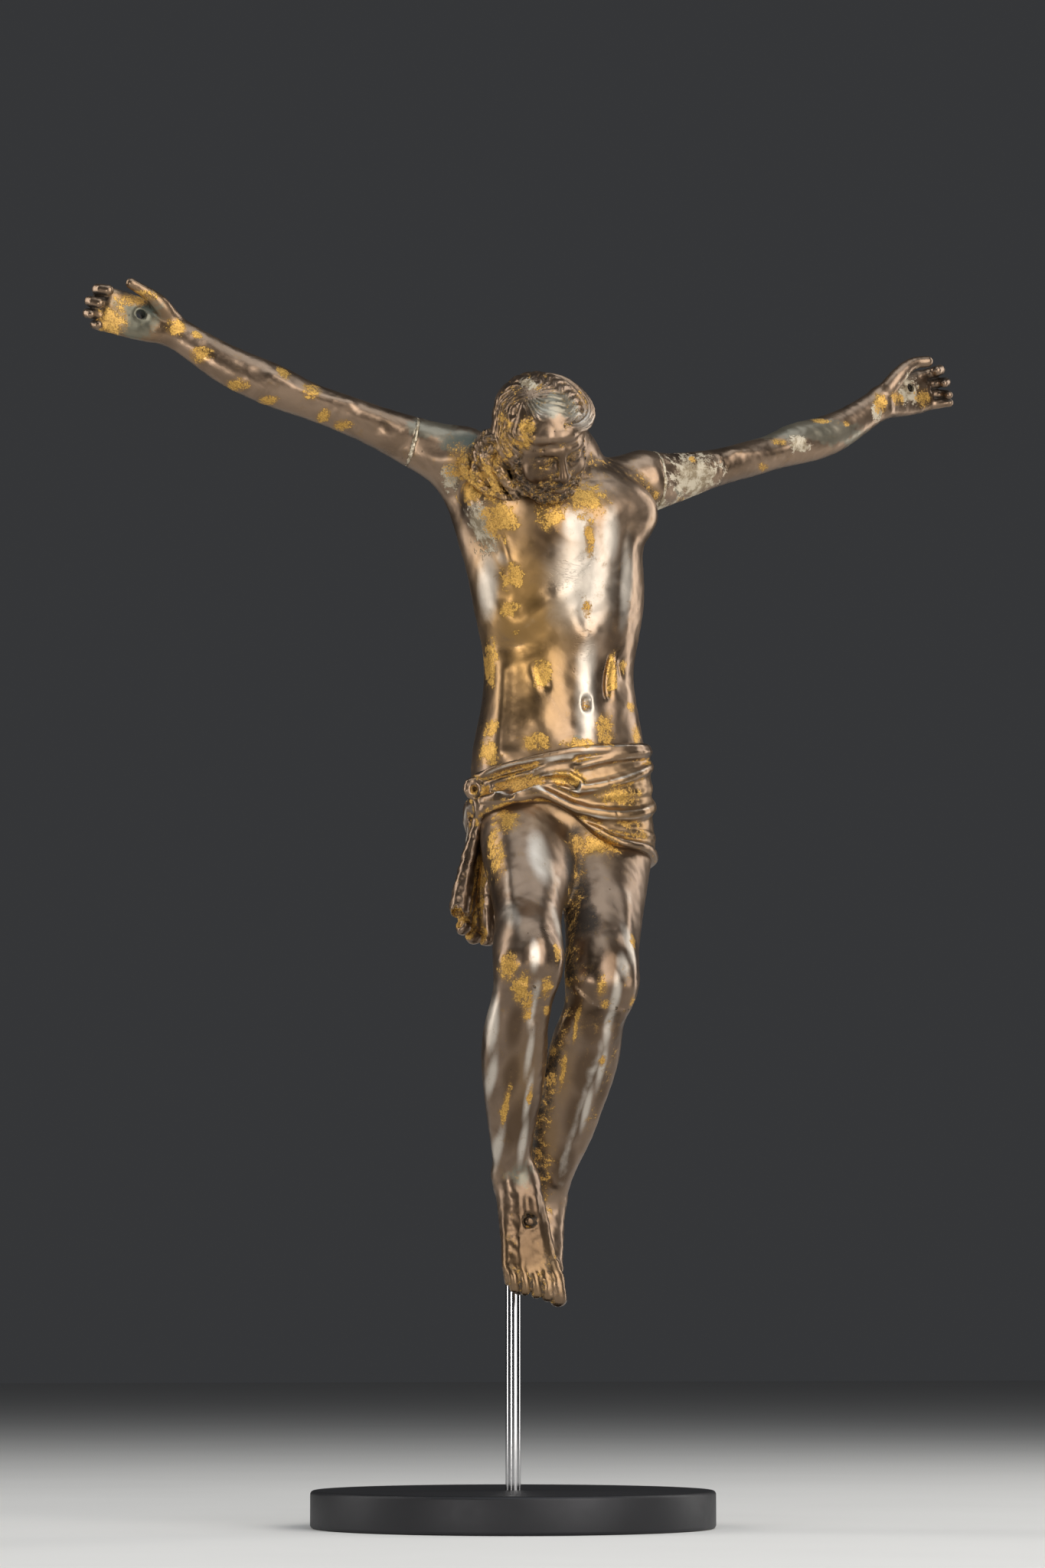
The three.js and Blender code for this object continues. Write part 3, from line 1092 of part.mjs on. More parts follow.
      const ids = [faces[f * 3], faces[f * 3 + 1], faces[f * 3 + 2]];
      if (ids.includes(a)) {
        dead[f] = 1;
        left--;
        for (const v of ids) if (v !== b) around[v] = around[v].filter((g) => g !== f);
      } else {
        faces[f * 3 + ids.indexOf(b)] = a;
        around[a].push(f);
      }
    }
    gone[b] = 1;
    stamp[a]++;
    for (let i = 0; i < 3; i++) p[a * 3 + i] = offerSpot[chosen * 3 + i];
    for (let i = 0; i < 10; i++) q[a * 10 + i] += q[b * 10 + i];
    round += 2;
    seen[a] = round;
    for (const f of around[a]) {
      for (let i = f * 3; i < f * 3 + 3; i++) {
        const v = faces[i];
        if (seen[v] === round) continue;
        seen[v] = round;
        offer(Math.min(a, v), Math.max(a, v));
      }
    }
  }
  const renamed = new Map();
  const outPoints = [];
  const outTriangles = [];
  for (let i = 0; i < faces.length; i++) {
    if (dead[(i - i % 3) / 3]) continue;
    const v = faces[i];
    if (!renamed.has(v)) {
      renamed.set(v, outPoints.length / 3);
      outPoints.push(p[v * 3], p[v * 3 + 1], p[v * 3 + 2]);
    }
    outTriangles.push(renamed.get(v));
  }
  return { points: outPoints, triangles: outTriangles };
}

// Solids

const wasm = await Module();
wasm.setup();

function solid({ points, triangles }) {
  return new wasm.Manifold(new wasm.Mesh({
    numProp: 3,
    vertProperties: Float32Array.from(points),
    triVerts: Uint32Array.from(triangles)
  }));
}

function solidOf(geometry) {
  const bare = geometry.clone();
  bare.deleteAttribute('normal');
  bare.deleteAttribute('uv');
  const merged = mergeVertices(bare, 1e-4);
  return solid({ points: merged.attributes.position.array, triangles: merged.index.array });
}

function geometryOf(manifold) {
  const { vertProperties, triVerts } = manifold.getMesh();
  const geometry = new THREE.BufferGeometry();
  geometry.setAttribute('position', new THREE.BufferAttribute(vertProperties, 3));
  geometry.setIndex(new THREE.BufferAttribute(triVerts, 1));
  geometry.computeVertexNormals();
  return geometry;
}

function place(p) {
  return [p[0] * unit, p[1] * unit, p[2] * unit + lift];
}

function cast(field, low, high, step, budget) {
  const { points, triangles } = thin(outerShell(surface(field, low, high, step)), budget);
  for (let i = 0; i < points.length; i += 3) {
    const spot = place([points[i], points[i + 1], points[i + 2]]);
    for (let a = 0; a < 3; a++) points[i + a] = spot[a];
  }
  return solid({ points, triangles });
}

function aim(geometry, centre, direction) {
  // Turns a shape that stands on the origin along +Y so that it leaves the centre in the direction.
  const turn = new THREE.Quaternion().setFromUnitVectors(
    new THREE.Vector3(0, 1, 0),
    new THREE.Vector3(...unitVector(direction))
  );
  geometry.applyQuaternion(turn);
  geometry.translate(...centre);
  return solidOf(geometry);
}

function drill(centre, direction, diameter, depth, sides = 16) {
  const geometry = new THREE.CylinderGeometry(diameter / 2, diameter / 2, depth, sides);
  geometry.translate(0, depth / 2, 0);
  return aim(geometry, centre, direction);
}

function halfSpace(centre, direction, size = 160) {
  // A block whose one face passes through the centre and which lies on the side of the direction.
  const geometry = new THREE.BoxGeometry(size, size, size);
  geometry.translate(0, size / 2, 0);
  return aim(geometry, centre, direction);
}

// Seams where the arms meet the body, with their outward directions

const seamRight = { at: [-42.5, -22, 347], out: unitVector([-0.97, 0.16, 0.22]) };
const seamLeft = { at: [41, -20, 339], out: unitVector([0.98, 0.14, 0.02]) };
const onArm = (seam, x, y, z) => dot(sub([x, y, z], seam.at), seam.out);
const overlap = 2;
const boxRoom = 3;               // room round the forms that a piece is sampled in

const bodyField = (x, y, z) => {
  const beyond = Math.max(onArm(seamRight, x, y, z), onArm(seamLeft, x, y, z));
  return Math.max(figure(x, y, z), beyond - overlap);
};
const armField = (seam) => (x, y, z) => Math.max(figure(x, y, z), -onArm(seam, x, y, z) - overlap);

function seamPlane(seam, side) {
  return add(place(seam.at), times(seam.out, side * fitGap / 2));
}

const socketMouth = place([0, 0, modelToe + socketHeight])[2];
const rodTop = socketMouth + rodInFigure - fitGap;
const stumps = [seamRight, seamLeft].map((seam) => egg(seam.at, [12, 12, 12], 1));
const bodyForms = [
  trunk, ...seat, ...legs, ...neck, ...skull, ...features, ...hair, ...forelock, hairEdge, ...beard,
  ...sideLocks, ...knot, ...clothEnd, ...stumps
];
const body = cast(bodyField, ...boxOf(bodyForms, boxRoom), bodyStep, bodyTriangles)
  .subtract(halfSpace(seamPlane(seamRight, -1), seamRight.out))
  .subtract(halfSpace(seamPlane(seamLeft, -1), seamLeft.out))
  .subtract(drill([0, 0, socketMouth - 30], [0, 0, 1], rodDiameter + 2 * fitGap, rodInFigure + 30))
  .subtract(drill(place([-7.2, -40, 97]), [0, 1, 0], footNailHole, footNailDepth + 4));
const rightArmBox = boxOf([upperArmRight, ...handRight], boxRoom);
const rightArm = cast(armField(seamRight), ...rightArmBox, armStep, armTriangles)
  .subtract(halfSpace(seamPlane(seamRight, 1), times(seamRight.out, -1)))
  .subtract(drill(place([-129, -20, 385]), [0, 1, 0], palmNailHole, 40));
const leftArmBox = boxOf([upperArmLeft, ...handLeft], boxRoom);
const leftArm = cast(armField(seamLeft), ...leftArmBox, armStep, armTriangles)
  .subtract(halfSpace(seamPlane(seamLeft, 1), times(seamLeft.out, -1)))
  .subtract(drill(place([143, -20, 381.6]), [0, 1, 0], palmNailHole, 40));

const bronze = new THREE.MeshStandardMaterial({ color: 0x6f5a48, roughness: 0.35, metalness: 0.9 });
const steel = new THREE.MeshStandardMaterial({ color: 0x9a9a9c, roughness: 0.2, metalness: 1 });
const blackSteel = new THREE.MeshStandardMaterial({ color: 0x202124, roughness: 0.5, metalness: 0.6 });

function piece(name, geometry, material) {
  const mesh = new THREE.Mesh(geometry, material);
  mesh.name = name;
  return mesh;
}

function supportRod() {
  const foot = plateThickness - rodInPlate + fitGap;
  const bevel = 0.5;
  const radius = rodDiameter / 2;
  const profile = [[0, foot], [radius - bevel, foot], [radius, foot + bevel], [radius, rodTop - bevel],
    [radius - bevel, rodTop], [0, rodTop]];
  const geometry = new THREE.LatheGeometry(profile.map((p) => new THREE.Vector2(...p)), 32);
  geometry.rotateX(Math.PI / 2);
  return piece('support_rod', geometryOf(solidOf(geometry)), steel);
}

function footPlate() {
  const radius = plateDiameter / 2;
  const profile = [[0, 0], [radius - plateEdge, 0], [radius, plateEdge], [radius, plateThickness - plateEdge],
    [radius - plateEdge, plateThickness], [0, plateThickness]];
  const geometry = new THREE.LatheGeometry(profile.map((p) => new THREE.Vector2(...p)), 72);
  geometry.rotateX(Math.PI / 2);
  const bottom = [0, 0, plateThickness - rodInPlate];
  const hole = drill(bottom, [0, 0, 1], rodDiameter + 2 * fitGap, rodInPlate + 5, 32);
  return piece('foot_plate', geometryOf(solidOf(geometry).subtract(hole)), blackSteel);
}

const corpus = new THREE.Group();
corpus.add(piece('corpus_body', geometryOf(body), bronze));
corpus.add(piece('right_arm', geometryOf(rightArm), bronze));
corpus.add(piece('left_arm', geometryOf(leftArm), bronze));
corpus.add(supportRod());
corpus.add(footPlate());

export default corpus;
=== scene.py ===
"""A bronze corpus figure with remains of gilding, held up by a steel rod on a round foot plate.

The figure is sculpted as a distance field in figure units, which are millimetres at its
modelled height, and its pieces are surfaces of that field. Blender works in metres.
"""

import math
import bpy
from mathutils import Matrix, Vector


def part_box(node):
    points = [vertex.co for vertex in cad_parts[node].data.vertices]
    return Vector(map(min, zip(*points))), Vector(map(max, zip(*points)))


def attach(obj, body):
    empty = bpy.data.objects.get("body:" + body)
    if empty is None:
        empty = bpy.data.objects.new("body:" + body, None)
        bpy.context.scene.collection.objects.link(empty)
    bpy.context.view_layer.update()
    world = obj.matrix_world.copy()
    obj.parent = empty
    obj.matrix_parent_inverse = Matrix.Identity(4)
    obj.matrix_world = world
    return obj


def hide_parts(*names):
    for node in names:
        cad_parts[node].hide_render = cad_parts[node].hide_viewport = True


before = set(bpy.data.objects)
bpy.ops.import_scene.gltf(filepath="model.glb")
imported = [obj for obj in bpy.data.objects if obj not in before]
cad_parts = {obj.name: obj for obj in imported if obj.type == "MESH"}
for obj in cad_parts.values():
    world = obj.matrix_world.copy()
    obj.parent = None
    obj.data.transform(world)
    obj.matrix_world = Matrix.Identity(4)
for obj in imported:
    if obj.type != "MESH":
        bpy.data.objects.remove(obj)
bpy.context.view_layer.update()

from concurrent.futures import ThreadPoolExecutor

import bpy
import numpy as np
from mathutils import Vector

bl_info = {
    "name": "Crucifix corpus figure",
    "version": (1, 0, 0),
    "blender": (4, 5, 0),
    "location": "View3D > Sidebar > Corpus",
    "description": "Builds the bronze corpus figure, its rod, its foot plate and a plain stage",
    "category": "Add Mesh",
}

# Sizes taken from the frame

MM = 0.001
BODY_NODE = "corpus_body"
NODE_HEIGHT_IN_UNITS = 296.53
NODE_TOE_IN_UNITS = 70.02
body_low, body_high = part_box(BODY_NODE)
rod_low, rod_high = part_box("support_rod")
plate_low, plate_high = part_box("foot_plate")
UNIT = round((body_high.z - body_low.z) / MM / NODE_HEIGHT_IN_UNITS, 3)
LIFT = round(body_low.z / MM - NODE_TOE_IN_UNITS * UNIT, 1)
ROD_RADIUS = (rod_high.x - rod_low.x) / 2 / MM
PLATE_RADIUS = (plate_high.x - plate_low.x) / 2 / MM
FIT_GAP = 0.3

# Settings of the sculpting. Lengths are in figure units

REACH = 14            # how far from the surface the field is still worked out
FAR = 1e3
SPLINE_TABLE = 201    # values that a spline is read from
TRUNK_SPARE = 40      # how far the trunk can reach beyond its ends and sideways
STROKE_REACH = 2.6    # how many of its half widths away a stroke still shows
THREADS = 4
GROUP_SIZE = 16       # size of the groups that points are worked out in
GROUP_COUNT = 4096    # more than the groups along any axis
BLOCK = 8             # grid cells along each side of a block
BLOCK_REACH = 1.2     # of a block's side, how far its middle may be from the surface near it
BLOCK_SPARE = 4       # and this much more, since the field isn't an exact distance
PROBE = 0.2           # share of a grid cell that slopes are measured over
LEAST_SLOPE = 0.3
GROOVE_REACH = 0.9
HOLLOW_REACH = 2.6
SEAM_FLOOR = 290      # the arms' seams cut the body over this height only


# Vectors and curves

FORWARD = (0, -1, 0)
RING = np.linspace(0, 2 * math.pi, 9)


def unit_vector(a):
    a = np.asarray(a, float)
    return a / np.linalg.norm(a)


def spline(xs, ys):
    """Natural cubic spline through the points, read from an even table."""
    xs, ys = np.asarray(xs, float), np.asarray(ys, float)
    count = len(xs)
    width = np.diff(xs)
    rise = np.diff(ys) / width
    system = np.eye(count)
    bend = np.zeros(count)
    for i in range(1, count - 1):
        system[i, i - 1:i + 2] = width[i - 1], 2 * (width[i - 1] + width[i]), width[i]
        bend[i] = 6 * (rise[i] - rise[i - 1])
    curve = np.linalg.solve(system, bend)
    grid = np.linspace(xs[0], xs[-1], SPLINE_TABLE)
    span = np.clip(np.searchsorted(xs, grid) - 1, 0, count - 2)
    a = (xs[span + 1] - grid) / width[span]
    b = 1 - a
    sag = (a ** 3 - a) * curve[span] + (b ** 3 - b) * curve[span + 1]
    table = a * ys[span] + b * ys[span + 1] + sag * width[span] ** 2 / 6
    return lambda x: np.interp(x, grid, table)


def smooth_path(points, pieces=8):
    """Points along a natural spline through 3-D points, spaced by chord length. Two points stay."""
    points = np.asarray(points, float)
    if len(points) == 2:
        return points
    along = np.concatenate([[0], np.cumsum(np.linalg.norm(np.diff(points, axis=0), axis=1))])
    places = np.linspace(0, along[-1], pieces + 1)
    return np.stack([spline(along, points[:, axis])(places) for axis in range(3)], axis=1)


# Forms: each has a ball that holds it, the softness of its join and a distance at points

class Form:
    def __init__(self, centre, radius, soft, at):
        self.centre = np.asarray(centre, float)
        self.radius = float(radius)
        self.soft = soft
        self.at = at

    def off(self, points):
        return np.linalg.norm(points - self.centre, axis=1) - self.radius


def blend(a, b, soft):
    h = np.maximum(soft - np.abs(a - b), 0) / soft
    return np.minimum(a, b) - h ** 3 * soft / 6


def carve(a, b, soft):
    """The field a with the form b taken out of it."""
    return -blend(-a, b, soft)


def shell(x, y, z, a, b, c, square):
    """Near-distance to an ellipsoid, or to a squarer one where the power is over 2."""
    px, py, pz = np.abs(x / a), np.abs(y / b), np.abs(z / c)
    round_ = np.sqrt(px * px + py * py + pz * pz)
    k = round_ if square == 2 else (px ** square + py ** square + pz ** square) ** (1 / square)
    slope = np.sqrt((px / a) ** 2 + (py / b) ** 2 + (pz / c) ** 2)
    return np.where(slope < 1e-9, -np.minimum(np.minimum(a, b), c), (k - 1) * round_ / (slope + 1e-12))


def limb(start, end, rows, soft, square=2, cap=1.0):
    """A limb along a straight axis. Rows: share along it, offset to the side, half width,
    depth in front, depth behind."""
    start, end = np.asarray(start, float), np.asarray(end, float)
    axis = end - start
    reach = np.linalg.norm(axis)
    way = axis / reach
    side = unit_vector(np.cross(way, FORWARD))
    fore = np.cross(side, way)
    rows = np.asarray(rows, float)
    tracks = [spline(rows[:, 0], rows[:, c]) for c in range(1, 5)]
    widest = np.max(rows[:, 2:5].max(1) + np.abs(rows[:, 1]))

    def at(p):
        q = p - start
        t = q @ way / reach
        k = np.clip(t, 0, 1)
        to_side, half, ahead, behind = [track(k) for track in tracks]
        u = q @ side - to_side
        v = q @ fore
        deep = np.where(v > 0, ahead, behind)
        return shell(u, v, (t - k) * reach, half, deep, cap * np.minimum(half, deep), square)

    return Form(start + axis / 2, reach / 2 + widest * (1 + cap * 0.2), soft, at)


def column(rows, soft, square, cap):
    """An upright trunk. Rows: height, centre x, centre y, half width, depth in front,
    depth behind, turn in degrees."""
    rows = np.asarray(rows, float)
    low, high = rows[0, 0], rows[-1, 0]
    tracks = [spline(rows[:, 0], rows[:, c]) for c in range(1, 7)]

    def at(p):
        k = np.clip(p[:, 2], low, high)
        cx, cy, half, ahead, behind, turn = [track(k) for track in tracks]
        angle = np.radians(turn)
        dx, dy = p[:, 0] - cx, p[:, 1] - cy
        u = dx * np.cos(angle) + dy * np.sin(angle)
        v = dx * np.sin(angle) - dy * np.cos(angle)
        return shell(u, v, p[:, 2] - k, half, np.where(v > 0, ahead, behind), cap, square)

    middle = (low + high) / 2
    centre = tracks[0](middle), tracks[1](middle), middle
    return Form(centre, (high - low) / 2 + TRUNK_SPARE, soft, at)


def egg(centre, radii, soft, axes=((1, 0, 0), (0, 1, 0), (0, 0, 1))):
    centre, axes = np.asarray(centre, float), np.asarray(axes, float)
    return Form(centre, max(radii), soft, lambda p: shell(*(axes @ (p - centre).T), *radii, 2))


def near_path(path, flat):
    """Squared distance from points to a polyline, and the share of the way of the nearest place."""
    def find(p):
        best = np.full(len(p), np.inf)
        place = np.zeros(len(p))
        for i, (a, b) in enumerate(zip(path[:-1], path[1:])):
            leg = (b - a) * (1, flat, 1)
            off = (p - a) * (1, flat, 1)
            t = np.clip(off @ leg / (leg @ leg), 0, 1)
            square = ((off - t[:, None] * leg) ** 2).sum(1)
            nearer = square < best
            best = np.where(nearer, square, best)
            place = np.where(nearer, i + t, place)
        return best, place / (len(path) - 1)

    return find


def ball_around(path, extra):
    low, high = np.min(path, axis=0), np.max(path, axis=0)
    return (low + high) / 2, np.linalg.norm(high - low) / 2 + extra


def tube(points, radii, soft, pieces=8):
    """A round, tapering rope or finger through the points."""
    path = smooth_path(points, pieces)
    radius = spline(np.linspace(0, 1, len(radii)), radii)
    find = near_path(path, 1)

    def at(p):
        square, place = find(p)
        return np.sqrt(square) - radius(place)

    return Form(*ball_around(path, max(radii)), soft, at)


def stroke(points, width, height, flat):
    """A soft ridge (height over 0) or hollow (under 0) that follows a line on the surface.
    Its shape is drawn out from front to back, the more the smaller flat is."""
    path = smooth_path(points)
    find = near_path(path, flat)
    return Form(*ball_around(path, STROKE_REACH * width / flat), 0,
                lambda p: height * np.exp(-find(p)[0] / width ** 2))


def strokes(*rows):
    """Strokes from rows: half width, height, flat, then the points."""
    return [stroke(points, width, height, flat) for width, height, flat, *points in rows]


def rim(middle, radius, width, height):
    """A raised ring round a hole that runs from front to back."""
    x, y, z = middle
    ring = [(x + radius * math.cos(a), y, z + radius * math.sin(a)) for a in RING]
    return stroke(ring, width, height, 0.08)


def within_reach(forms, points):
    """The forms that can matter near the surface for points that lie close together."""
    low, high = points.min(0), points.max(0)
    middle, spread = (low + high) / 2, np.linalg.norm(high - low) / 2
    return [f for f in forms if np.linalg.norm(middle - f.centre) - spread - f.radius < REACH]


def joined(forms):
    def field(p):
        d = np.full(len(p), FAR)
        for form in within_reach(forms, p):
            near = form.off(p) <= d + form.soft
            if near.any():
                d[near] = blend(d[near], form.at(p[near]), form.soft)
        return d

    return field


def raised(ridges, p):
    rise = np.zeros(len(p))
    for form in within_reach(ridges, p):
        near = form.off(p) < 0
        if near.any():
            rise[near] += form.at(p[near])
    return rise


# Trunk, seen from its own front: narrow at the waist, with a light turn to the left below

TRUNK = column([
    (206, 12.5, -12.5, 24, 16, 17, -9), (213, 12.3, -13.2, 27.4, 18, 19, -9),
    (222, 11.7, -14, 28.6, 19.5, 20, -9), (231, 11, -14.8, 28.6, 20, 19.5, -8),
    (240, 10.3, -15.6, 28.8, 20, 18.5, -7), (250, 9.6, -16.6, 28, 19.3, 17.3, -5),
    (260, 9.4, -17.6, 26.2, 18.3, 16.5, -3), (271, 8.8, -18.6, 24.7, 17.5, 16, 0),
    (283, 8.6, -19.8, 25.7, 17.9, 16.8, 1), (294, 7.9, -21, 28, 19.2, 18, 2),
    (305, 6.8, -22.2, 29, 20.6, 19.2, 3), (316, 5, -23.2, 29.5, 21.3, 20.2, 3),
    (326, 3.7, -24, 29.8, 20, 20, 3), (335, 3.8, -24, 27.8, 14, 14, 3),
], 6, 2.3, 9)

SHOULDER_RIGHT = (-26, -24, 342.6)
SHOULDER_LEFT = (38, -20, 340)
WRIST_RIGHT = (-118.5, -5, 381.3)
WRIST_LEFT = (131.3, -4, 375.2)

SHOULDERS = [
    egg((1, -22, 337), (27, 13, 8), 7),
    tube([(-10, -22, 337.5), SHOULDER_RIGHT], (9, 8.6), 5),
    tube([(22, -21, 336.5), SHOULDER_LEFT], (8.6, 8.8), 6),
    tube([(-31.5, -21, 340), (-24, -21, 330), (-19.5, -21, 317), (-16.5, -21, 303)],
         (6, 6.8, 6.2, 4), 6),
    tube([(34, -19, 337), (29, -20, 325), (27, -21, 312)], (5.2, 4.8, 4), 7),
    egg((-13, -33, 328), (16, 10, 12), 8),
    egg((21, -32, 326), (17, 10, 12), 8),
    egg((-12.5, -11.6, 322), (8.5, 8.4, 14), 8),
    egg((23, -10.8, 320), (8.5, 8.4, 14), 8),
]

ARM_RIGHT = limb(SHOULDER_RIGHT, WRIST_RIGHT, [
    (0, -0.8, 9.6, 9.5, 9.5), (0.1, -1.9, 8.9, 8.6, 8.6), (0.2, -2.3, 7.6, 7.5, 7.5),
    (0.3, -2.5, 6.5, 7, 6.8), (0.42, -2.9, 5.9, 6.3, 6.3), (0.52, -3.5, 5.9, 5.6, 6.2),
    (0.62, -3.6, 6.8, 5.9, 6.2), (0.72, -3.7, 6.8, 5.6, 5.8), (0.82, -3.2, 6.3, 5, 5),
    (0.91, -1.7, 5.6, 4.2, 4.2), (1, 0, 5.2, 3.7, 3.7),
], 6, cap=0.8)

ARM_LEFT = limb(SHOULDER_LEFT, WRIST_LEFT, [
    (0, 1.3, 9.6, 9.5, 9.5), (0.08, 2.2, 8.6, 8.4, 8.4), (0.18, 3, 7.3, 7.3, 7.3), (0.3, 3.8, 6, 6.6, 6.6),
    (0.43, 4.4, 5.9, 6.1, 6.2), (0.51, 4.5, 5.9, 5.6, 6.2), (0.6, 4.3, 6.8, 5.9, 6.2),
    (0.7, 4.8, 6.9, 5.7, 5.8), (0.8, 4.3, 6.4, 5.1, 5.1), (0.9, 2.3, 5.7, 4.3, 4.3), (1, -0.2, 5.4, 3.8, 3.8),
], 6, cap=0.8)


# Hands: a palm that faces forward, a thumb on its upper edge and four curled fingers

def hand(wrist, palm_end, thumb, thumb_radii, fingers):
    palm = limb(wrist, palm_end, [
        (0, 0, 5.2, 3.5, 3.8), (0.3, 0, 6.3, 3.1, 3.7), (0.6, 0, 7, 2.5, 3.3),
        (0.85, 0, 7.2, 2.4, 2.9), (1, 0, 7, 2.4, 2.6),
    ], 3, square=2.6, cap=0.7)
    return [palm, tube(thumb, thumb_radii, 2.2)] + [tube(path, radii, 1, 6) for path, radii in fingers]


HAND_RIGHT = hand(
    WRIST_RIGHT, (-139, -3.6, 386.6),
    [(-119.5, -6.5, 385), (-123.3, -8.6, 388.3), (-128, -9.2, 391.6), (-133, -9.2, 394.2)],
    (2.9, 2.8, 2, 1.7), [
        ([(-137, -3.6, 391), (-142, -4.6, 391.8), (-143.6, -8.4, 391.6), (-141, -11, 390.9)],
         (2, 1.9, 1.8, 1.8)),
        ([(-139, -3.4, 387.6), (-144, -4.4, 388.2), (-146, -7.6, 387.8), (-143.7, -10.6, 386.6)],
         (2, 1.9, 1.7, 1.6)),
        ([(-139, -3.2, 384.3), (-144, -4.2, 384.4), (-146.8, -6.6, 384), (-146.2, -9.6, 383)],
         (1.9, 1.8, 1.5, 1.3)),
        ([(-138, -3.2, 381), (-142.2, -4.2, 380.8), (-144.3, -6.6, 380.6), (-143.4, -9, 380)],
         (1.8, 1.6, 1.4, 1.3)),
    ])

HAND_LEFT = hand(
    WRIST_LEFT, (150, 2.2, 382.2),
    [(133, -6, 380), (137.6, -6.6, 385.5), (142.5, -6, 389.3), (147.6, -6, 390.3)],
    (3, 2.8, 2.1, 1.9), [
        ([(148, 1.6, 386.6), (152.6, 1.6, 388.2), (154, -2.4, 388.6), (151.4, -5.6, 387.4)],
         (2, 1.9, 1.8, 1.6)),
        ([(149.6, 2, 383.6), (154.4, 2, 384.8), (156.6, -1.4, 384.8), (154.6, -4.6, 383.4)],
         (2, 1.8, 1.6, 1.3)),
        ([(149.8, 2.2, 380.4), (154.4, 2.4, 381), (157, 0, 380.8), (157, -2.8, 380)],
         (1.9, 1.8, 1.6, 1.4)),
        ([(149, 2.2, 377.4), (153, 2, 377.4), (156, 0.6, 377.6), (158, -1, 377.8)],
         (1.8, 1.7, 1.5, 1.4)),
    ])

# Legs: the right one lies over the left, knees forward and feet pointing down

HIP_RIGHT, KNEE_RIGHT = (-2, -18, 226), (-15.5, -57.5, 176.5)
ANKLE_RIGHT, TOES_RIGHT = (-9.5, -28, 112), (-4.7, -32.3, 79.3)
HIP_LEFT, KNEE_LEFT = (27, -13, 224), (11, -51.5, 171.5)
ANKLE_LEFT, TOES_LEFT = (5, -16, 104), (0.8, -20.3, 79.3)

THIGH_RIGHT = limb(HIP_RIGHT, KNEE_RIGHT, [
    (0, 0, 14.6, 12.5, 14), (0.2, -0.7, 15.8, 12.8, 13.5), (0.4, -0.7, 14.2, 11.8, 12),
    (0.6, 0, 11.4, 10.3, 10.5), (0.8, 0, 10.1, 9, 9.2), (1, 0, 9, 7, 8.2),
], 6)
SHIN_RIGHT = limb(KNEE_RIGHT, ANKLE_RIGHT, [
    (0, 0, 6.8, 4.6, 6.4), (0.14, 1.3, 9, 6.4, 8.8), (0.27, 2.4, 10, 7.2, 10.8), (0.4, 2.6, 10.6, 6.8, 11.6),
    (0.54, 2.4, 10.1, 6.4, 10.8), (0.68, 2.1, 8.8, 6, 9), (0.82, 2, 7, 5.6, 7), (0.91, 1.4, 6.4, 5.4, 6.4),
    (1, 0.3, 6.5, 5.6, 6.2),
], 8, cap=0.45)
FOOT_RIGHT = limb(ANKLE_RIGHT, TOES_RIGHT, [
    (0, 0, 6.6, 6, 6.6), (0.2, 0, 7.2, 6.2, 6), (0.45, 0, 8, 5.2, 5.2), (0.7, 0.3, 8.6, 4.2, 4.8),
    (0.88, 0.6, 9.1, 3.6, 4.4), (1, 0.8, 9, 3.2, 3.8),
], 4, square=2.3, cap=0.6)
THIGH_LEFT = limb(HIP_LEFT, KNEE_LEFT, [
    (0, 0, 14.2, 12.5, 14), (0.22, 0, 14.9, 13, 13.5), (0.42, 0, 13.8, 12.2, 12.4), (0.62, 0, 12.6, 11, 11.2),
    (0.82, 0, 11.5, 9.3, 9.8), (1, 0, 10.4, 7.2, 8.8),
], 6)
SHIN_LEFT = limb(KNEE_LEFT, ANKLE_LEFT, [
    (0, 0, 7.4, 4.6, 6.4), (0.14, -0.2, 9.6, 6.4, 9), (0.27, -0.5, 11.2, 7.2, 11.4),
    (0.4, -0.6, 11.5, 6.8, 11.8), (0.55, 0.3, 11.3, 6.4, 10.4), (0.7, 0, 9.7, 6, 8.6),
    (0.83, 0.2, 7.7, 5.6, 7), (1, 0.2, 6.6, 5.6, 6),
], 8, cap=0.45)
FOOT_LEFT = limb(ANKLE_LEFT, TOES_LEFT, [
    (0, 0, 6.4, 5.6, 6), (0.3, 0, 7, 5.2, 5.2), (0.6, 0, 7.6, 4.4, 4.8), (1, 0, 8, 3.2, 3.8),
], 4, square=2.3, cap=0.6)


def toes(root, tip, spread, droop, radii):
    """Five toes side by side: root and tip are the big toe's, spread leads to the little toe."""
    made = []
    for i, radius in enumerate(radii):
        shift = np.array(spread) * i / 4
        base = np.array(root) + shift
        end = np.array(tip) + shift + (0, 0, droop * i / 4)
        knuckle = (base + end) / 2 + (0, -1.2, 0.6)
        made.append(tube([base, knuckle, end], (radius * 0.95, radius * 0.92, radius), 0.8, 6))
    return made


LEGS = [
    THIGH_RIGHT, SHIN_RIGHT, FOOT_RIGHT, THIGH_LEFT, SHIN_LEFT, FOOT_LEFT,
    egg((-15.2, -54.4, 178.4), (8.8, 10.4, 13), 11),
    egg((12, -49, 174.4), (9.2, 10.2, 13), 11),
    egg((-8.8, -21, 109.5), (4.8, 6, 8), 6),
    egg((5.2, -11.8, 103.5), (5.2, 5.8, 7.8), 6),
    *toes((1, -33, 83), (2.6, -34.8, 72.7), (-14.5, 0.8, 0), 3.4, (2.7, 1.95, 1.85, 1.75, 1.65)),
    *toes((-4.8, -21.4, 85), (-6, -23, 76.4), (12.4, 0.4, 0), 2.4, (2.6, 1.9, 1.8, 1.7, 1.6)),
]

SEAT = [egg((1, -6, 216), (14.5, 11.5, 13), 6), egg((25, -4, 215), (14.5, 11.5, 13), 6)]

# Head: bowed 45 degrees forward and leaning 15 degrees to the figure's right

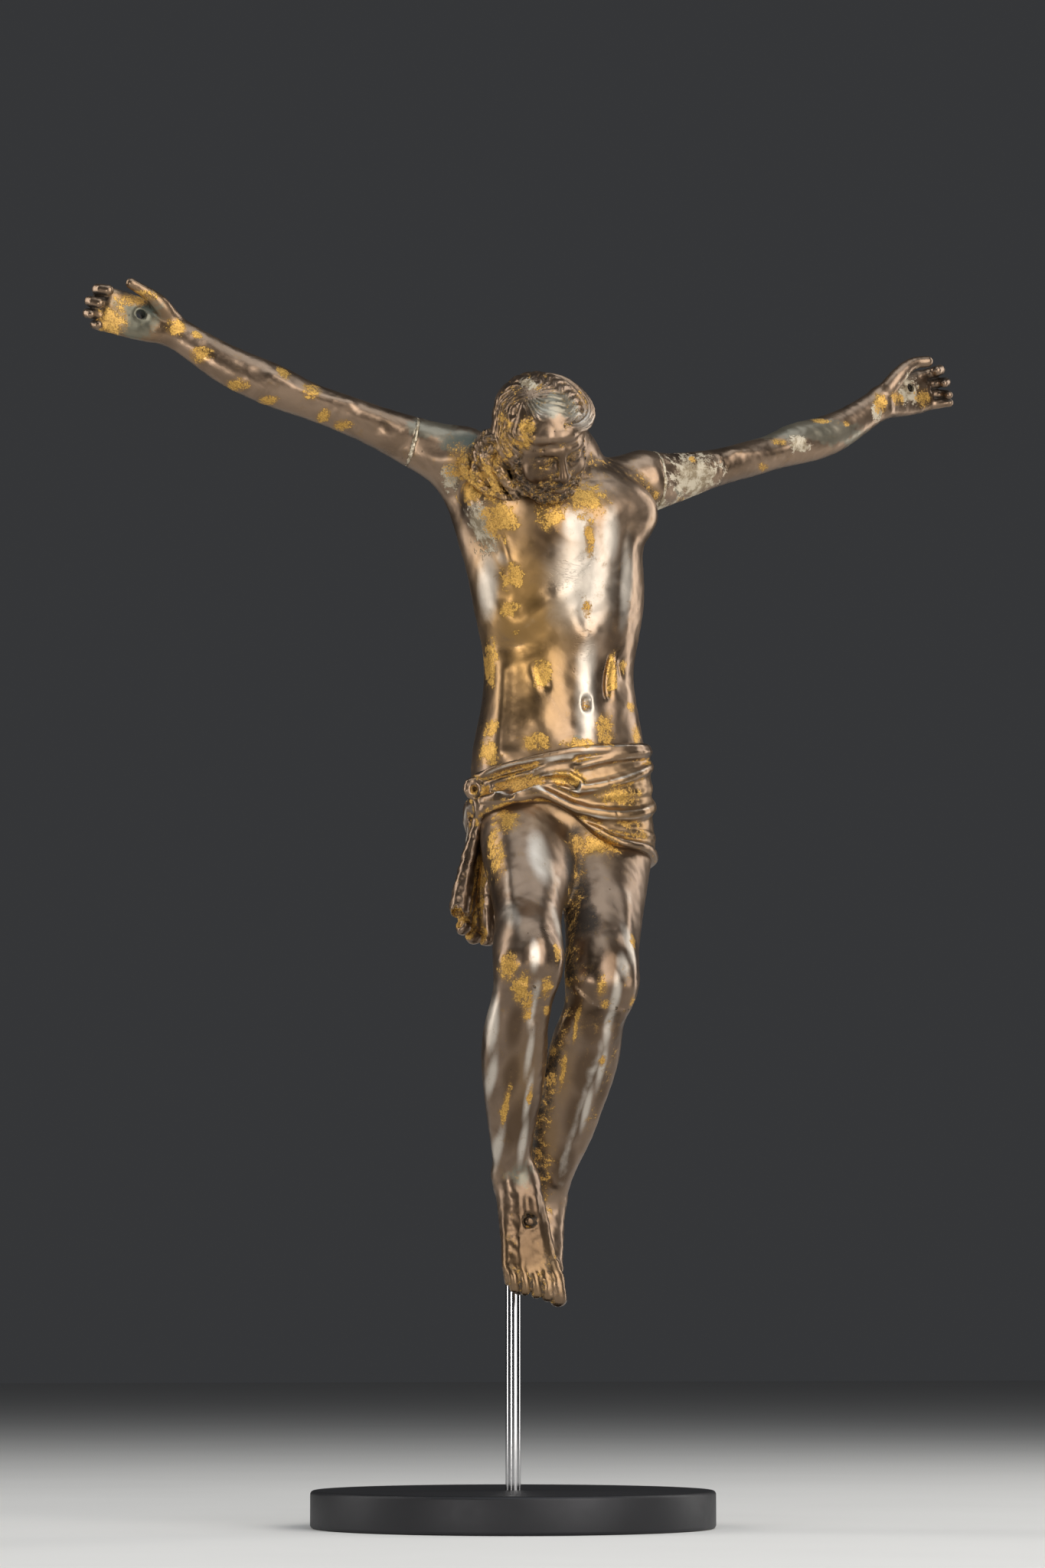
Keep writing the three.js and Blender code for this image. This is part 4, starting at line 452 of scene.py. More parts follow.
HEAD_CENTRE = np.array((-8.6, -50, 346.6))
BOW, LEAN = math.radians(45), math.radians(15)
HEAD_UP = np.array((-math.cos(BOW) * math.sin(LEAN), -math.sin(BOW), math.cos(BOW) * math.cos(LEAN)))
HEAD_FORE = np.array((math.sin(BOW) * math.sin(LEAN), -math.cos(BOW), -math.sin(BOW) * math.cos(LEAN)))
HEAD_SIDE = np.cross(HEAD_UP, HEAD_FORE)
HEAD_AXES = np.array((HEAD_SIDE, HEAD_FORE, HEAD_UP))


def on_head(s, f, u):
    return HEAD_CENTRE + np.array((s, f, u)) @ HEAD_AXES


def head_egg(s, f, u, radii, soft):
    return egg(on_head(s, f, u), radii, soft, HEAD_AXES)


def head_tube(points, radii, soft, pieces=8):
    return tube([on_head(*p) for p in points], radii, soft, pieces)


NECK = [
    tube([(3, -24, 334), (-1, -33, 342), on_head(0, -6, -4)], (11.5, 11, 10.2), 5),
    tube([(3, -38, 349), (10.5, -30, 346.5), (19, -22, 339)], (6.6, 6.8, 5.6), 5),
]
SKULL = [
    head_egg(0, -1.8, 4.2, (13.2, 16.2, 13.6), 3),
    head_egg(0, 6.2, -4.4, (10.8, 10.4, 13.4), 5),
    head_egg(0, 9.6, -12.8, (6.6, 6.2, 5.4), 4),
]
FEATURES = [
    head_tube([(-9.2, 9.6, 1), (-4.6, 13.8, 3), (0, 14.4, 2.6), (4.6, 13.8, 3), (9.2, 9.6, 1)],
              (0.9, 1.5, 1.4, 1.5, 0.9), 4.2),
    head_tube([(0, 14.4, 3.2), (0, 16.4, -1.6), (0, 18, -5)], (1.2, 1.25, 1.7), 2.4),
    head_egg(0, 18, -5.3, (1.75, 1.9, 1.6), 1.2),
    head_tube([(-3.6, 14.4, -10), (-1.2, 16, -9.5), (0, 16.1, -9.7), (1.2, 16, -9.5),
               (3.6, 14.4, -10)],
              (0.5, 0.85, 0.8, 0.85, 0.5), 0.8),
    head_tube([(-3, 14.4, -10.9), (0, 15.9, -11.6), (3, 14.4, -10.9)], (0.6, 1.1, 0.6), 0.8),
]
SOCKETS = []
LIDS = []
for side in (-1, 1):
    FEATURES += [
        head_egg(side * 2, 16.2, -5.9, (1.25, 1.9, 1.2), 1),
        head_egg(side * 4.9, 12, -1, (3.2, 3, 2.6), 0.8),
        head_egg(side * 6.4, 10.4, -5.8, (4.2, 4.4, 4.4), 4),
    ]
    SOCKETS.append(head_egg(side * 4.8, 16.6, -0.6, (3.8, 2.7, 2.6), 2.4))
    LIDS += strokes(
        (0.42, -0.38, 1, on_head(side * 2.2, 14.2, -1.2), on_head(side * 4.9, 15.2, -2.5),
         on_head(side * 7.7, 12.9, -1.4)),
        (0.5, -0.25, 1, on_head(side * 2.2, 14, 0.4), on_head(side * 4.9, 14.8, 1.2),
         on_head(side * 7.9, 12.4, 0.2)))

# Hair and beard

HAIR_CENTRE = (0, -2.2, 3.8)
HAIR = [
    head_egg(*HAIR_CENTRE, (14.4, 16.8, 14.2), 1.5),
    head_egg(0, -11, -6, (11.5, 7, 9), 4),
    head_egg(-11.5, -1, -2, (4.2, 8.5, 8.5), 3),
    egg((-21, -37.5, 337), (5.5, 6, 9), 4),
    head_tube([(12.2, 3, 4), (12.6, -3, 0), (11, -8, -6)], (2.2, 2.6, 2.4), 2),
]


def roll(line, count, girth, turns):
    """A thick lock made of strands that wind round its line, girth being its radius along the way."""
    last = 16
    path = smooth_path(line, last)
    reach = [girth(i / last) for i in range(last + 1)]
    made = []
    for strand in range(count):
        points = []
        for i, p in enumerate(path):
            out = unit_vector(p - on_head(*HAIR_CENTRE))
            along = unit_vector(path[min(i + 1, last)] - path[max(i - 1, 0)])
            angle = 2 * math.pi * (strand / count + turns * i / last)
            ring = out * math.cos(angle) + np.cross(along, out) * math.sin(angle)
            points.append(p + ring * 0.66 * reach[i])
        made.append(tube(points, [0.4 * r for r in reach], 0.15, 14))
    return made


FORELOCK = roll(
    [on_head(*p) for p in ((1.5, -9.5, 15.6), (7.6, -6, 14.2), (12, -0.6, 11.2), (12.9, 5, 8.4),
                           (9.6, 9.8, 7.9), (5, 12.2, 8.8), (1.6, 12.4, 10.6))],
    7, lambda t: 2.8 * math.sin(math.pi * (0.07 + 0.88 * t)) ** 0.7, 0.22)
HAIR_EDGE = head_tube(
    [(9.6, 8.8, 7.4), (3.6, 12.9, 7.6), (-3.6, 12.7, 7.6), (-9.6, 8.6, 6.6), (-13, 2, 4)],
    (1.2, 1.8, 2, 1.8, 1.2), 3.2)
SMOOTH_HAIR = on_head(-3, 12.5, 11)
BEARD = [head_egg(0, 10.4, -14.2, (6.4, 5.8, 5), 3)]
for side in (-1, 1):
    BEARD += [
        head_tube([(side * 11.2, 3, -2), (side * 9.4, 8, -9), (side * 4.6, 11.8, -14.6)],
                  (2, 2.6, 3), 2),
        head_tube([(0, 17.4, -7.8), (side * 3.6, 15.8, -9.2), (side * 6.4, 12.8, -12.2)],
                  (0.8, 1.3, 0.9), 0.8),
    ]

# Strands of hair leave the whorl at the crown and are combed down with a light sweep
WHORL = unit_vector(-0.41 * HEAD_SIDE + 0.16 * HEAD_FORE + 0.9 * HEAD_UP)
WHORL_SIDE = unit_vector(np.cross(WHORL, HEAD_FORE))
WHORL_FORE = np.cross(WHORL, WHORL_SIDE)
LOCK_HEIGHT = 0.85
STRAND_COUNT = 20
CURL_PITCH = 3.0
CURL_HEIGHT = 0.5
CURL_WIDTH = 0.46     # of one turn, as a share of the pitch


def chance(i, j, salt=0.0):
    """A fixed number from 0 to 1 for each pair of whole numbers."""
    return np.modf(np.abs(np.sin(i * 12.9898 + j * 78.233 + salt) * 43758.5453))[0]


def locks(p):
    """Wavy strands of hair, gathered in tufts and combed away from the whorl."""
    way = p - on_head(*HAIR_CENTRE)
    far = np.linalg.norm(way, axis=1) + 1e-9
    fall = np.arccos(np.clip(way @ WHORL / far, -1, 1))
    around = np.arctan2(way @ WHORL_SIDE, way @ WHORL_FORE)
    sweep = 2.2 * fall + 0.5 * np.sin(2 * around + 3 * fall)
    wave = 0.5 * np.sin(5.2 * fall + 3 * around) + 0.25 * np.sin(9.0 * fall - 4 * around)
    lie = STRAND_COUNT / 2 * around + 3 * sweep + 2.2 * wave
    tuft = 2 * np.abs(np.cos(lie)) ** 0.55 - 1.4
    small_lie = 2.5 * around * 4 + 2.5 * (3 * sweep + 2.2 * wave) + 0.8 * np.sin(7 * fall)
    small = 2 * np.abs(np.cos(small_lie)) ** 0.7 - 1.3
    height = (0.62 * tuft + 0.22 * small) * np.minimum(fall * 2.5, 1) * (0.8 + 0.3 * unevenness(p, 11.0))
    bare = 0.85 * np.exp(-(((p - SMOOTH_HAIR) ** 2).sum(1)) / 52)
    return LOCK_HEIGHT * height * (1 - bare)


def curls(across, down):
    """Snail curls on a loose grid: each winds round its own middle, to one side or the other."""
    i, j = np.floor(across / CURL_PITCH), np.floor(down / CURL_PITCH)
    nearest = np.full(len(across), 9.0)
    angle = np.zeros(len(across))
    for step_i in (-1, 0, 1):
        for step_j in (-1, 0, 1):
            ci, cj = i + step_i, j + step_j
            a = across / CURL_PITCH - ci - 0.2 - 0.6 * chance(ci, cj)
            b = down / CURL_PITCH - cj - 0.2 - 0.6 * chance(ci, cj, 5.0)
            off = np.hypot(a, b)
            nearer = off < nearest
            winding = np.where(chance(ci, cj, 9.0) > 0.5, 1, -1)
            nearest = np.where(nearer, off, nearest)
            angle = np.where(nearer, winding * np.arctan2(b, a), angle)
    return CURL_HEIGHT * np.cos(2 * math.pi * nearest / CURL_WIDTH + angle) * np.clip(1.15 - nearest, 0, 1)


def beard_curls(p):
    way = p - HEAD_CENTRE
    return curls(way @ HEAD_SIDE, way @ HEAD_UP - 0.4 * (way @ HEAD_FORE))


def wavy_lock(points, radius, swing, turns, phase):
    """Strands of hair that wind round each other and sway as they fall."""
    last = 18
    line = smooth_path(points, last)
    share = np.arange(last + 1) / last
    sway = swing * np.stack([np.cos(phase + 9 * share), 0.5 * np.sin(phase + 9 * share), 0 * share], axis=1)
    made = []
    for strand in range(3):
        angle = phase + 2 * math.pi * (strand / 3 + turns * share)
        ring = np.stack([np.cos(angle), 0.7 * np.sin(angle), 0.3 * np.sin(angle)], axis=1)
        radii = (radius * 0.62, radius * 0.66, radius * 0.34)
        made.append(tube(line + sway + 0.6 * radius * ring, radii, 0.3, 14))
    return made


SIDE_LOCKS = [
    *wavy_lock([on_head(-13.5, 3, 0), (-23.8, -44, 340), (-22.5, -43, 331), (-17, -43, 326)],
               2.2, 1, 2.6, 0.4),
    *wavy_lock([on_head(-14.2, -2, 0), (-26, -40, 341), (-25.8, -39, 333), (-21, -41, 327)],
               2.3, 1.1, 2.8, 2),
    *wavy_lock([on_head(-13, -7, -2), (-25.5, -35, 344), (-27.5, -34, 337), (-26, -37, 330)],
               2.2, 0.9, 2.4, 3.4),
    *wavy_lock([on_head(-12.4, 6, -2), (-20.5, -47.5, 339), (-19.5, -46, 331), (-15.5, -45, 326)],
               1.9, 0.9, 2.5, 5),
    *wavy_lock([on_head(-11, 8, -3), (-17.5, -49, 338), (-16, -47.5, 331), (-11.8, -46, 327)],
               1.7, 0.8, 2.5, 1.2),
]

# Loincloth: a rolled cloth round the hips, from the knot on the right hip to its low hem on the left

CLOTH_THICKNESS = 0.9
HIP_FLATTENING = 0.6      # how much lower the folds are where the cloth is stretched over the left hip
HIP_AXIS = (12, -14)
hips = joined([TRUNK, THIGH_RIGHT, THIGH_LEFT, *SEAT])


def bearing(p):
    """Degrees round the hips: 0 in front and 90 at the left hip."""
    return np.degrees(np.arctan2(p[:, 0] - HIP_AXIS[0], -(p[:, 1] - HIP_AXIS[1])))


def round_hips(*stops):
    """A height that runs round the hips. Stops: bearing, height."""
    closed = [*stops, (stops[0][0] + 360, stops[0][1])]
    height = spline(*zip(*closed))
    return lambda angle: height(np.where(angle < stops[0][0], angle + 360, angle))


CLOTH_TOP = round_hips((-90, 239), (-60, 242.6), (-30, 246.2), (0, 248.9), (30, 250.2), (60, 251.4),
                       (90, 251.6), (140, 248), (180, 244), (225, 240.5))
CLOTH_HEM = round_hips((-90, 224), (-69, 227.2), (-45, 230), (-28, 229.6), (-10, 225.6), (9, 220.2),
                       (27, 216.8), (50, 215.4), (70, 213), (90, 211.4), (140, 206), (180, 204), (225, 209))
# Rows: half width, height, the bearings that a fold begins and ends at, and its way round the hips
FOLDS = [(width, height, first, last, round_hips(*way)) for width, height, first, last, *way in (
    (1.9, 1.8, -200, 300, (-90, 237), (-75, 239.2), (-63, 241.7), (-43, 243.9), (-13, 246.6), (18, 247.8),
     (50, 249.4), (90, 249.8), (140, 246), (180, 242), (225, 238)),
    (1.5, 1.5, -11, 66, (-90, 239), (-10, 241.7), (10, 244), (44, 246.8), (90, 248.6), (180, 242)),
    (1.9, 2, -7, 235, (-90, 232), (-6, 234.5), (11, 235.9), (30, 238.4), (58, 243.4), (90, 245.2),
     (150, 238.5), (190, 235), (230, 234)),
    (1.7, 0.9, 6, 96, (-90, 232), (0, 231.8), (16, 233), (50, 235.4), (90, 239), (180, 230)),
    (2.3, 2.4, -200, 300, (-90, 231), (-60, 231.6), (-49, 232), (-39, 233.2), (-26, 231), (-10, 228.2),
     (10, 226.7), (33, 226.9), (60, 230.3), (90, 232.6), (140, 222), (185, 217), (230, 222)),
    (1.2, 0.8, 14, 80, (-90, 226), (0, 223.6), (30, 222.4), (60, 221.6), (90, 221), (180, 214)),
    (1.7, 1.8, -8, 300, (-90, 226), (-30, 226), (-6, 223.4), (9, 221.4), (27, 218.3), (53, 216.8),
     (70, 214.5), (90, 212.8), (140, 207.6), (180, 205.6), (225, 211)),
    (1.3, 1.4, 92, 262, (-90, 232), (100, 240.4), (150, 232), (190, 228), (230, 229), (250, 230)),
    (1.4, 1.3, 98, 250, (-90, 232), (100, 228), (150, 219), (190, 213), (230, 217), (250, 221)),
    (1.2, 1.2, -80, -30, (-90, 235), (-57, 237.9), (-39, 240.2), (-20, 242), (90, 245), (180, 240)),
)]
DRAPE = strokes(
    (1.15, 1.4, 0.6, (-16.5, -29, 233.8), (-9.3, -33.6, 236.2), (-3.4, -35.6, 238.3), (2.5, -36.8, 239.4),
     (7.2, -37, 238.6), (10, -36.6, 235.8), (8.4, -37, 233.6)),
    (1, 1, 0.6, (-11.8, -34.3, 232.8), (-7.6, -34.9, 235.1), (-0.2, -36.2, 235.9), (6.8, -36.9, 234)),
    (0.9, 0.9, 0.6, (-5.4, -35.4, 240.8), (0.5, -36.6, 243.2), (6.5, -37.2, 244.2)),
    (1, -0.7, 0.6, (-1.5, -36, 237.2), (5.5, -37, 236.6)),
    (1.3, 0.6, 0.6, (-16, -26, 229.6), (-8, -31, 229.4), (-2, -33, 228.4)),
    (0.28, -0.3, 0.6, (18, -38, 243.2), (19.6, -38, 234), (22.4, -38, 225.6)),
)


def loop_of_cloth(centre, radius, thickness):
    """A rolled loop that faces the front right."""
    right = np.array((0.94, -0.34, 0))
    up = np.array((0, 0, 1.15))
    ring = [np.asarray(centre) + radius * (math.cos(a) * right + math.sin(a) * up) for a in RING]
    return tube(ring, (thickness, thickness * 1.15, thickness * 0.85, thickness), 0.5, 14)


KNOT = [
    tube([(-15, -20, 239), (-17.8, -19, 235.5), (-17, -19.5, 231.5)], (3, 3.2, 2.8), 1),
    loop_of_cloth((-20.8, -20.4, 235.2), 2.1, 1.35),
    loop_of_cloth((-14.2, -25.4, 235), 1.9, 1.2),
    tube([(-12.6, -27.4, 233.6), (-15.6, -25.6, 230.4), (-18.2, -22.6, 228.4)], (1.7, 1.9, 1.5), 0.6),
    tube([(-19.4, -19.6, 239.2), (-16, -23, 239.9), (-10.5, -28.5, 239)], (1.4, 1.8, 1.6), 0.8),
    tube([(-19.6, -20.4, 231.6), (-18.6, -20.6, 228.6), (-18.2, -19, 225.6)], (1.6, 2.1, 1.7), 0.6),
]
CLOTH_END = [
    tube([(-17.6, -18, 229), (-20.2, -17, 217), (-22.8, -16.5, 205), (-24, -16, 197)],
         (1.7, 2.3, 2.9, 3.4), 0.7, 10),
    tube([(-16, -15.5, 229), (-18.2, -14.4, 214), (-20, -13.5, 202), (-21.6, -14, 193)],
         (1.8, 2.2, 2.7, 2.4), 0.6, 10),
    tube([(-14.4, -13.4, 228), (-16.4, -12.4, 212), (-17.6, -12, 200), (-17, -12.4, 189.2)],
         (2.2, 2.5, 2.7, 2.3), 0.6, 10),
    tube([(-12.6, -16, 222), (-13.6, -14.6, 208), (-13.6, -13.4, 198), (-13.2, -13.4, 189.6)],
         (2.4, 2.5, 2.8, 2.4), 0.6, 10),
    egg((-22.6, -15.6, 190.9), (2.5, 2.6, 2.5), 0.6),
    egg((-18.4, -13.8, 188), (2.7, 2.4, 2.2), 0.6),
    egg((-13.6, -13.2, 187.4), (2.5, 2.3, 2.1), 0.6),
]
CLOTH_MOUTHS = [
    tube([(-25.6, -17.2, 192.6), (-24.2, -16.6, 199.5)], (2.3, 1.6), 0.6),
    tube([(-21.6, -22.6, 235.2), (-20.2, -19.4, 235.2)], (1, 0.8), 0.5),
    tube([(-19.6, -16.8, 186), (-19.2, -16, 196)], (0.9, 0.4), 0.7),
    tube([(-15.4, -15.8, 185), (-15.6, -15.6, 197)], (0.9, 0.4), 0.7),
    tube([(-21.8, -19, 193.4), (-22.6, -18.6, 194.6)], (0.8, 0.8), 0.5),
]

# Relief of the body

CHEST = strokes(
    (2.4, 0.9, 0.5, (-27.7, -37, 328), (-23.4, -37, 319), (-18.7, -38, 314), (-15.5, -38, 307)),
    (2.6, -0.9, 0.5, (-31, -34, 327), (-27, -34, 318), (-23, -34, 311), (-18.5, -35, 303), (-16.5, -35, 296)),
    (5.4, -1.2, 0.5, (-13, -42, 325), (-9.5, -42, 315), (-8.5, -42, 305), (-6, -41, 297)),
    (6.5, 0.7, 0.5, (0, -44, 322), (4, -43, 312), (6, -42, 300), (9, -40, 290)),
    (3.8, 1.1, 0.5, (-18, -36, 300), (-16.4, -35, 291.5), (-12, -34, 286.8), (-6.5, -37, 289.5),
     (-2, -40, 295)),
    (4.2, -0.9, 0.5, (-15, -34, 279), (-7, -35, 281), (-1, -38, 286)),
    (4, 0.7, 0.5, (1.6, -40.5, 295.8), (4.6, -38.6, 288), (10.2, -37.7, 283.6), (16.6, -37.7, 287),
     (21, -38.3, 293.5)),
    (2.8, -0.6, 0.5, (10, -40, 295.5), (10.5, -38, 288)),
    (4.8, -0.5, 0.5, (12.4, -44, 316), (12.8, -43, 303)),
    (5.6, 0.6, 0.5, (17.6, -43.5, 322), (18.6, -43, 313), (18, -42, 304), (16.6, -40, 297)),
    (3.8, -0.5, 0.5, (22.8, -41, 318), (22.2, -41, 307), (21.8, -39, 296)),
    (3.4, 0.5, 0.5, (26.4, -38, 314), (26.2, -38, 303), (25.2, -36, 288)),
)
BELLY = strokes(
    (6, 1.1, 0.5, (10.2, -38, 282), (11.6, -36, 266), (12.6, -36, 250)),
    (3.6, -0.5, 0.5, (4, -38, 278), (5, -36, 268), (6.4, -36, 254)),
    (3, -0.6, 0.5, (16.8, -37, 277), (17.6, -36, 268), (18.4, -36, 256)),
    (1.2, -2.2, 0.5, (11.6, -36, 263.4), (11.7, -36, 261)),
    (1, 0.18, 0.5, (11.6, -36, 266.4), (9.7, -36, 262.4), (11.7, -36, 258.4), (13.6, -36, 262.2)),
    (1.7, -0.9, 0.5, (-4, -34.5, 273.5), (-1.9, -34.7, 267.5)),
    (1.1, -1, 0.5, (20.9, -34.5, 278), (19.4, -34.7, 271), (19.6, -34.5, 265.4)),
    (0.9, -0.8, 0.5, (24.4, -34.5, 276), (25.6, -33.7, 272.5)),
    (1.3, 0.5, 0.5, (22.6, -34.5, 276), (22.4, -34, 268)),
    (2.4, 0.7, 0.6, (-13.5, -27.6, 273), (-14.7, -26.7, 247)),
    (3.6, -0.6, 0.5, (-10.4, -31, 272), (-10.2, -31, 262), (-11.3, -30, 250)),
    (4.6, 0.7, 0.5, (-4, -36, 257), (4, -36, 249), (12, -36, 246)),
    (3.2, 0.6, 0.5, (18, -34, 257), (24, -31, 261), (29, -27, 267)),
)
LEG_RELIEF = strokes(
    (3.6, 0.5, 0.5, (-6, -47, 206), (-10, -57, 192), (-13.5, -63.5, 183)),
    (3, 0.75, 0.5, (-17, -44, 206), (-19.4, -52, 193), (-20.6, -58, 181), (-20.2, -59.5, 172),
     (-19, -57, 163)),
    (3, 0.6, 0.5, (-3.6, -46, 204), (-6, -54, 192), (-7.6, -60, 181), (-8.6, -60.5, 171), (-10, -56, 162)),
    (2.4, -0.7, 0.5, (-17.4, -61, 177), (-16.4, -60, 168), (-14.4, -57, 160)),
    (2.4, -0.6, 0.5, (-11, -62.5, 177), (-12, -61, 168), (-14, -57, 160)),
    (2.8, 0.9, 0.5, (22, -42, 200), (20.6, -51, 188), (19.4, -56.5, 177), (18.4, -56.5, 168),
     (17.4, -53, 160)),
    (3.2, 0.45, 0.5, (9.6, -42, 198), (8, -50, 186), (7.2, -55, 177), (8.2, -54, 166)),
    (2.4, -0.6, 0.5, (16.2, -57, 175), (15.2, -56, 166), (13.6, -52, 158)),
    (2.4, -0.5, 0.5, (10.6, -56, 175), (11.2, -56, 166), (12.6, -52, 158)),
    (2.2, 0.9, 1, (-14.6, -56, 160), (-13.2, -50, 146), (-11.6, -42, 130), (-10.4, -35, 116)),
    (3, -0.7, 1, (-19.4, -50, 158), (-18.6, -44, 146), (-16, -37, 132)),
    (2.6, -0.6, 1, (-8.4, -50, 156), (-7.6, -44, 144), (-7.4, -36, 130)),
    (2.2, 0.9, 1, (12.6, -51, 156), (9.6, -43, 140), (7.4, -34, 124), (5.8, -25, 110)),
    (2.8, -0.6, 1, (17.8, -46, 152), (15, -38, 138), (11.6, -30, 124)),
    (1.6, 0.5, 1, (-5.2, -35.5, 104), (-2.6, -37, 92), (-0.6, -37, 82)),
    (1.3, -0.4, 1, (-8.4, -35.5, 104), (-6.8, -37, 92), (-5.6, -37, 82)),
    (1.6, 0.4, 1, (-10.2, -35, 104), (-10.4, -36, 92), (-10.2, -36, 82)),
    (2.4, 1, 1, (-15.4, -28, 112), (-14.8, -27, 108)),
    (2.2, 0.9, 1, (-3.4, -30, 110), (-3.4, -28, 106)),
)
ARM_RELIEF = [
    *strokes(
        (2.6, -0.7, 0.6, (-29, -32, 346), (-37, -31, 343), (-46, -28, 345)),
        (2.4, 0.7, 0.6, (-64, -24, 358), (-76, -22, 360), (-88, -18, 366)),
        (2.4, -0.6, 0.6, (-56, -26, 349), (-66, -24, 351), (-76, -21, 356)),
        (2.6, -0.7, 0.6, (44, -29, 341), (52, -28, 338), (60, -25, 340)),
        (2.4, 0.7, 0.6, (70, -22, 352), (84, -20, 352), (98, -15, 358)),
    ),
    rim((-129, -9, 385), 1.95, 0.55, 0.3),
    rim((143, -9, 381.6), 1.95, 0.55, 0.3),
    *strokes((0.5, 0.3, 0.5, (64.4, -22.4, 350.5), (64.9, -22.1, 346.5), (65.6, -21, 341), (64.8, -17, 338))),
]
BACK = strokes(
    (3.2, -1.5, 0.4, (4.6, -6, 336), (5.4, -3, 320), (7.6, -3, 296), (9, -2.6, 272), (10, 1, 250)),
    (4, 0.7, 0.4, (-4, -3, 300), (0, -3, 280), (1, 0, 256)),
    (4, 0.7, 0.4, (17, -3, 300), (17.5, -3, 280), (19, 0, 256)),
    (2.4, 0.8, 0.5, (-7, -2, 334), (-9, -1, 322), (-15, -2, 311)),
    (2.4, 0.8, 0.5, (17.5, -2, 333), (19.5, -1, 321), (25.5, -2, 310)),
)
RELIEF = [*BACK, *CHEST, *BELLY, *LEG_RELIEF, *ARM_RELIEF]

# Seams where the arms meet the body, with their outward directions

SEAM_RIGHT = ((-42.5, -22, 347), unit_vector((-0.97, 0.16, 0.22)))
SEAM_LEFT = ((41, -20, 339), unit_vector((0.98, 0.14, 0.02)))


def beyond(seam, p):
    return (p - seam[0]) @ seam[1]


def pin(start, way, radius, reach):
    """A round hole or peg that leaves its start in a direction."""
    start, way = np.asarray(start, float), unit_vector(way)

    def at(p):
        along = (p - start) @ way
        out = np.linalg.norm(p - start - along[:, None] * way, axis=1)
        return np.maximum(out - radius, np.maximum(-along, along - reach))

    return at


def unevenness(p, pitch=9.0):
    """Slow, shallow waves such as hand finishing leaves on a cast surface."""
    x, y, z = (p * 2 * math.pi / pitch).T
    across, down = np.sin(x + 1.7 * np.sin(0.6 * z)), np.sin(0.8 * z + 1.3 * np.sin(0.7 * y))
    return across * down * np.cos(0.7 * y + 0.4 * x)


# Fields of the pieces

flesh = joined([TRUNK, *SHOULDERS, ARM_RIGHT, ARM_LEFT, *SEAT, *LEGS, *NECK])
arm_flesh = joined([TRUNK, *SHOULDERS, ARM_RIGHT, ARM_LEFT, *HAND_RIGHT, *HAND_LEFT])
skull_form = joined(SKULL)
face_form = joined(FEATURES)
hair_form = joined(HAIR)
forelock_form = joined(FORELOCK)
beard_form = joined(BEARD)
side_lock_form = joined(SIDE_LOCKS)
knot_form = joined([*KNOT, *CLOTH_END])
rod_socket = pin((0, 0, (body_low.z / MM - LIFT) / UNIT), (0, 0, 1), ROD_RADIUS + FIT_GAP,
                 (rod_high.z - body_low.z) / MM / UNIT + FIT_GAP)
foot_nail = pin((-7.2, -40, 97), (0, 1, 0), 2.2, 7)
foot_plug = pin((-6.9, -34.4, 96.8), (0.1, 1, 0.05), 1.5, 6)
palm_right = pin((-129, -20, 385), (0, 1, 0), 1.5, 40)
palm_left = pin((143, -20, 381.6), (0, 1, 0), 1.5, 40)


def body_field(p):
    d = flesh(p) - raised(RELIEF, p) - 0.09 * unevenness(p) - 0.03 * unevenness(p, 4.1)
    rough = np.clip((125 - p[:, 2]) / 25, 0, 1) + 0.3 * np.clip((190 - p[:, 2]) / 25, 0, 1)
    d = d - rough * (0.11 * unevenness(p, 5.3) + 0.07 * unevenness(p, 2.7))
    for seam in (SEAM_RIGHT, SEAM_LEFT):
        d = np.where(p[:, 2] > SEAM_FLOOR, np.maximum(d, beyond(seam, p) + FIT_GAP / 2), d)
    d = np.maximum(d, -rod_socket(p))
    d = np.maximum(d, -foot_nail(p))
    return np.minimum(d, foot_plug(p))


def head_field(p):
    d = skull_form(p)
    for socket in SOCKETS:
        d = carve(d, socket.at(p), 2)
    d = blend(d, face_form(p), 1.2) - raised(LIDS, p)
    hair = blend(hair_form(p), joined([HAIR_EDGE])(p), 3.0) - locks(p)
    d = blend(d, hair, 0.5)
    d = blend(d, forelock_form(p), 0.7)
    d = blend(d, beard_form(p) - beard_curls(p), 0.8)
    return blend(d, side_lock_form(p) - 0.35 * curls(p[:, 0] + 0.5 * p[:, 1], p[:, 2]), 0.6)


def cloth_field(p):
    angle = bearing(p)
    round_ = np.where(angle < -90, angle + 360, angle)
    d = hips(p) - CLOTH_THICKNESS
    for width, height, first, last, way in FOLDS:
        ends = 1 / ((1 + np.exp((first - round_) / 2.0)) * (1 + np.exp((round_ - last) / 5.0)))
        lower = 1 - HIP_FLATTENING * np.exp(-((round_ - 84) / 24) ** 2)
        d = d - height * ends * lower * np.exp(-np.abs((p[:, 2] - way(angle)) / width) ** 2.8)
    d = d - raised(DRAPE, p) - 0.12 * unevenness(p, 8.0)
    band = blend(CLOTH_TOP(angle) - p[:, 2], p[:, 2] - CLOTH_HEM(angle), 1)
    d = -blend(-d, band, 1.2)
    d = blend(d, knot_form(p) - 0.22 * unevenness(p, 6.0) - 0.08 * unevenness(p, 2.3), 0.8)
    for mouth in CLOTH_MOUTHS:
        d = carve(d, mouth.at(p), 0.6)
    return d


def arm_field(seam, palm):
    def field(p):
        d = arm_flesh(p) - raised(ARM_RELIEF, p) - 0.07 * unevenness(p, 7.0) - 0.03 * unevenness(p, 3.3)
        d = np.maximum(d, FIT_GAP / 2 - beyond(seam, p))
        return np.maximum(d, -palm(p))

    return field


# Surface of a field: one point in each cell that the surface crosses, moved onto the surface

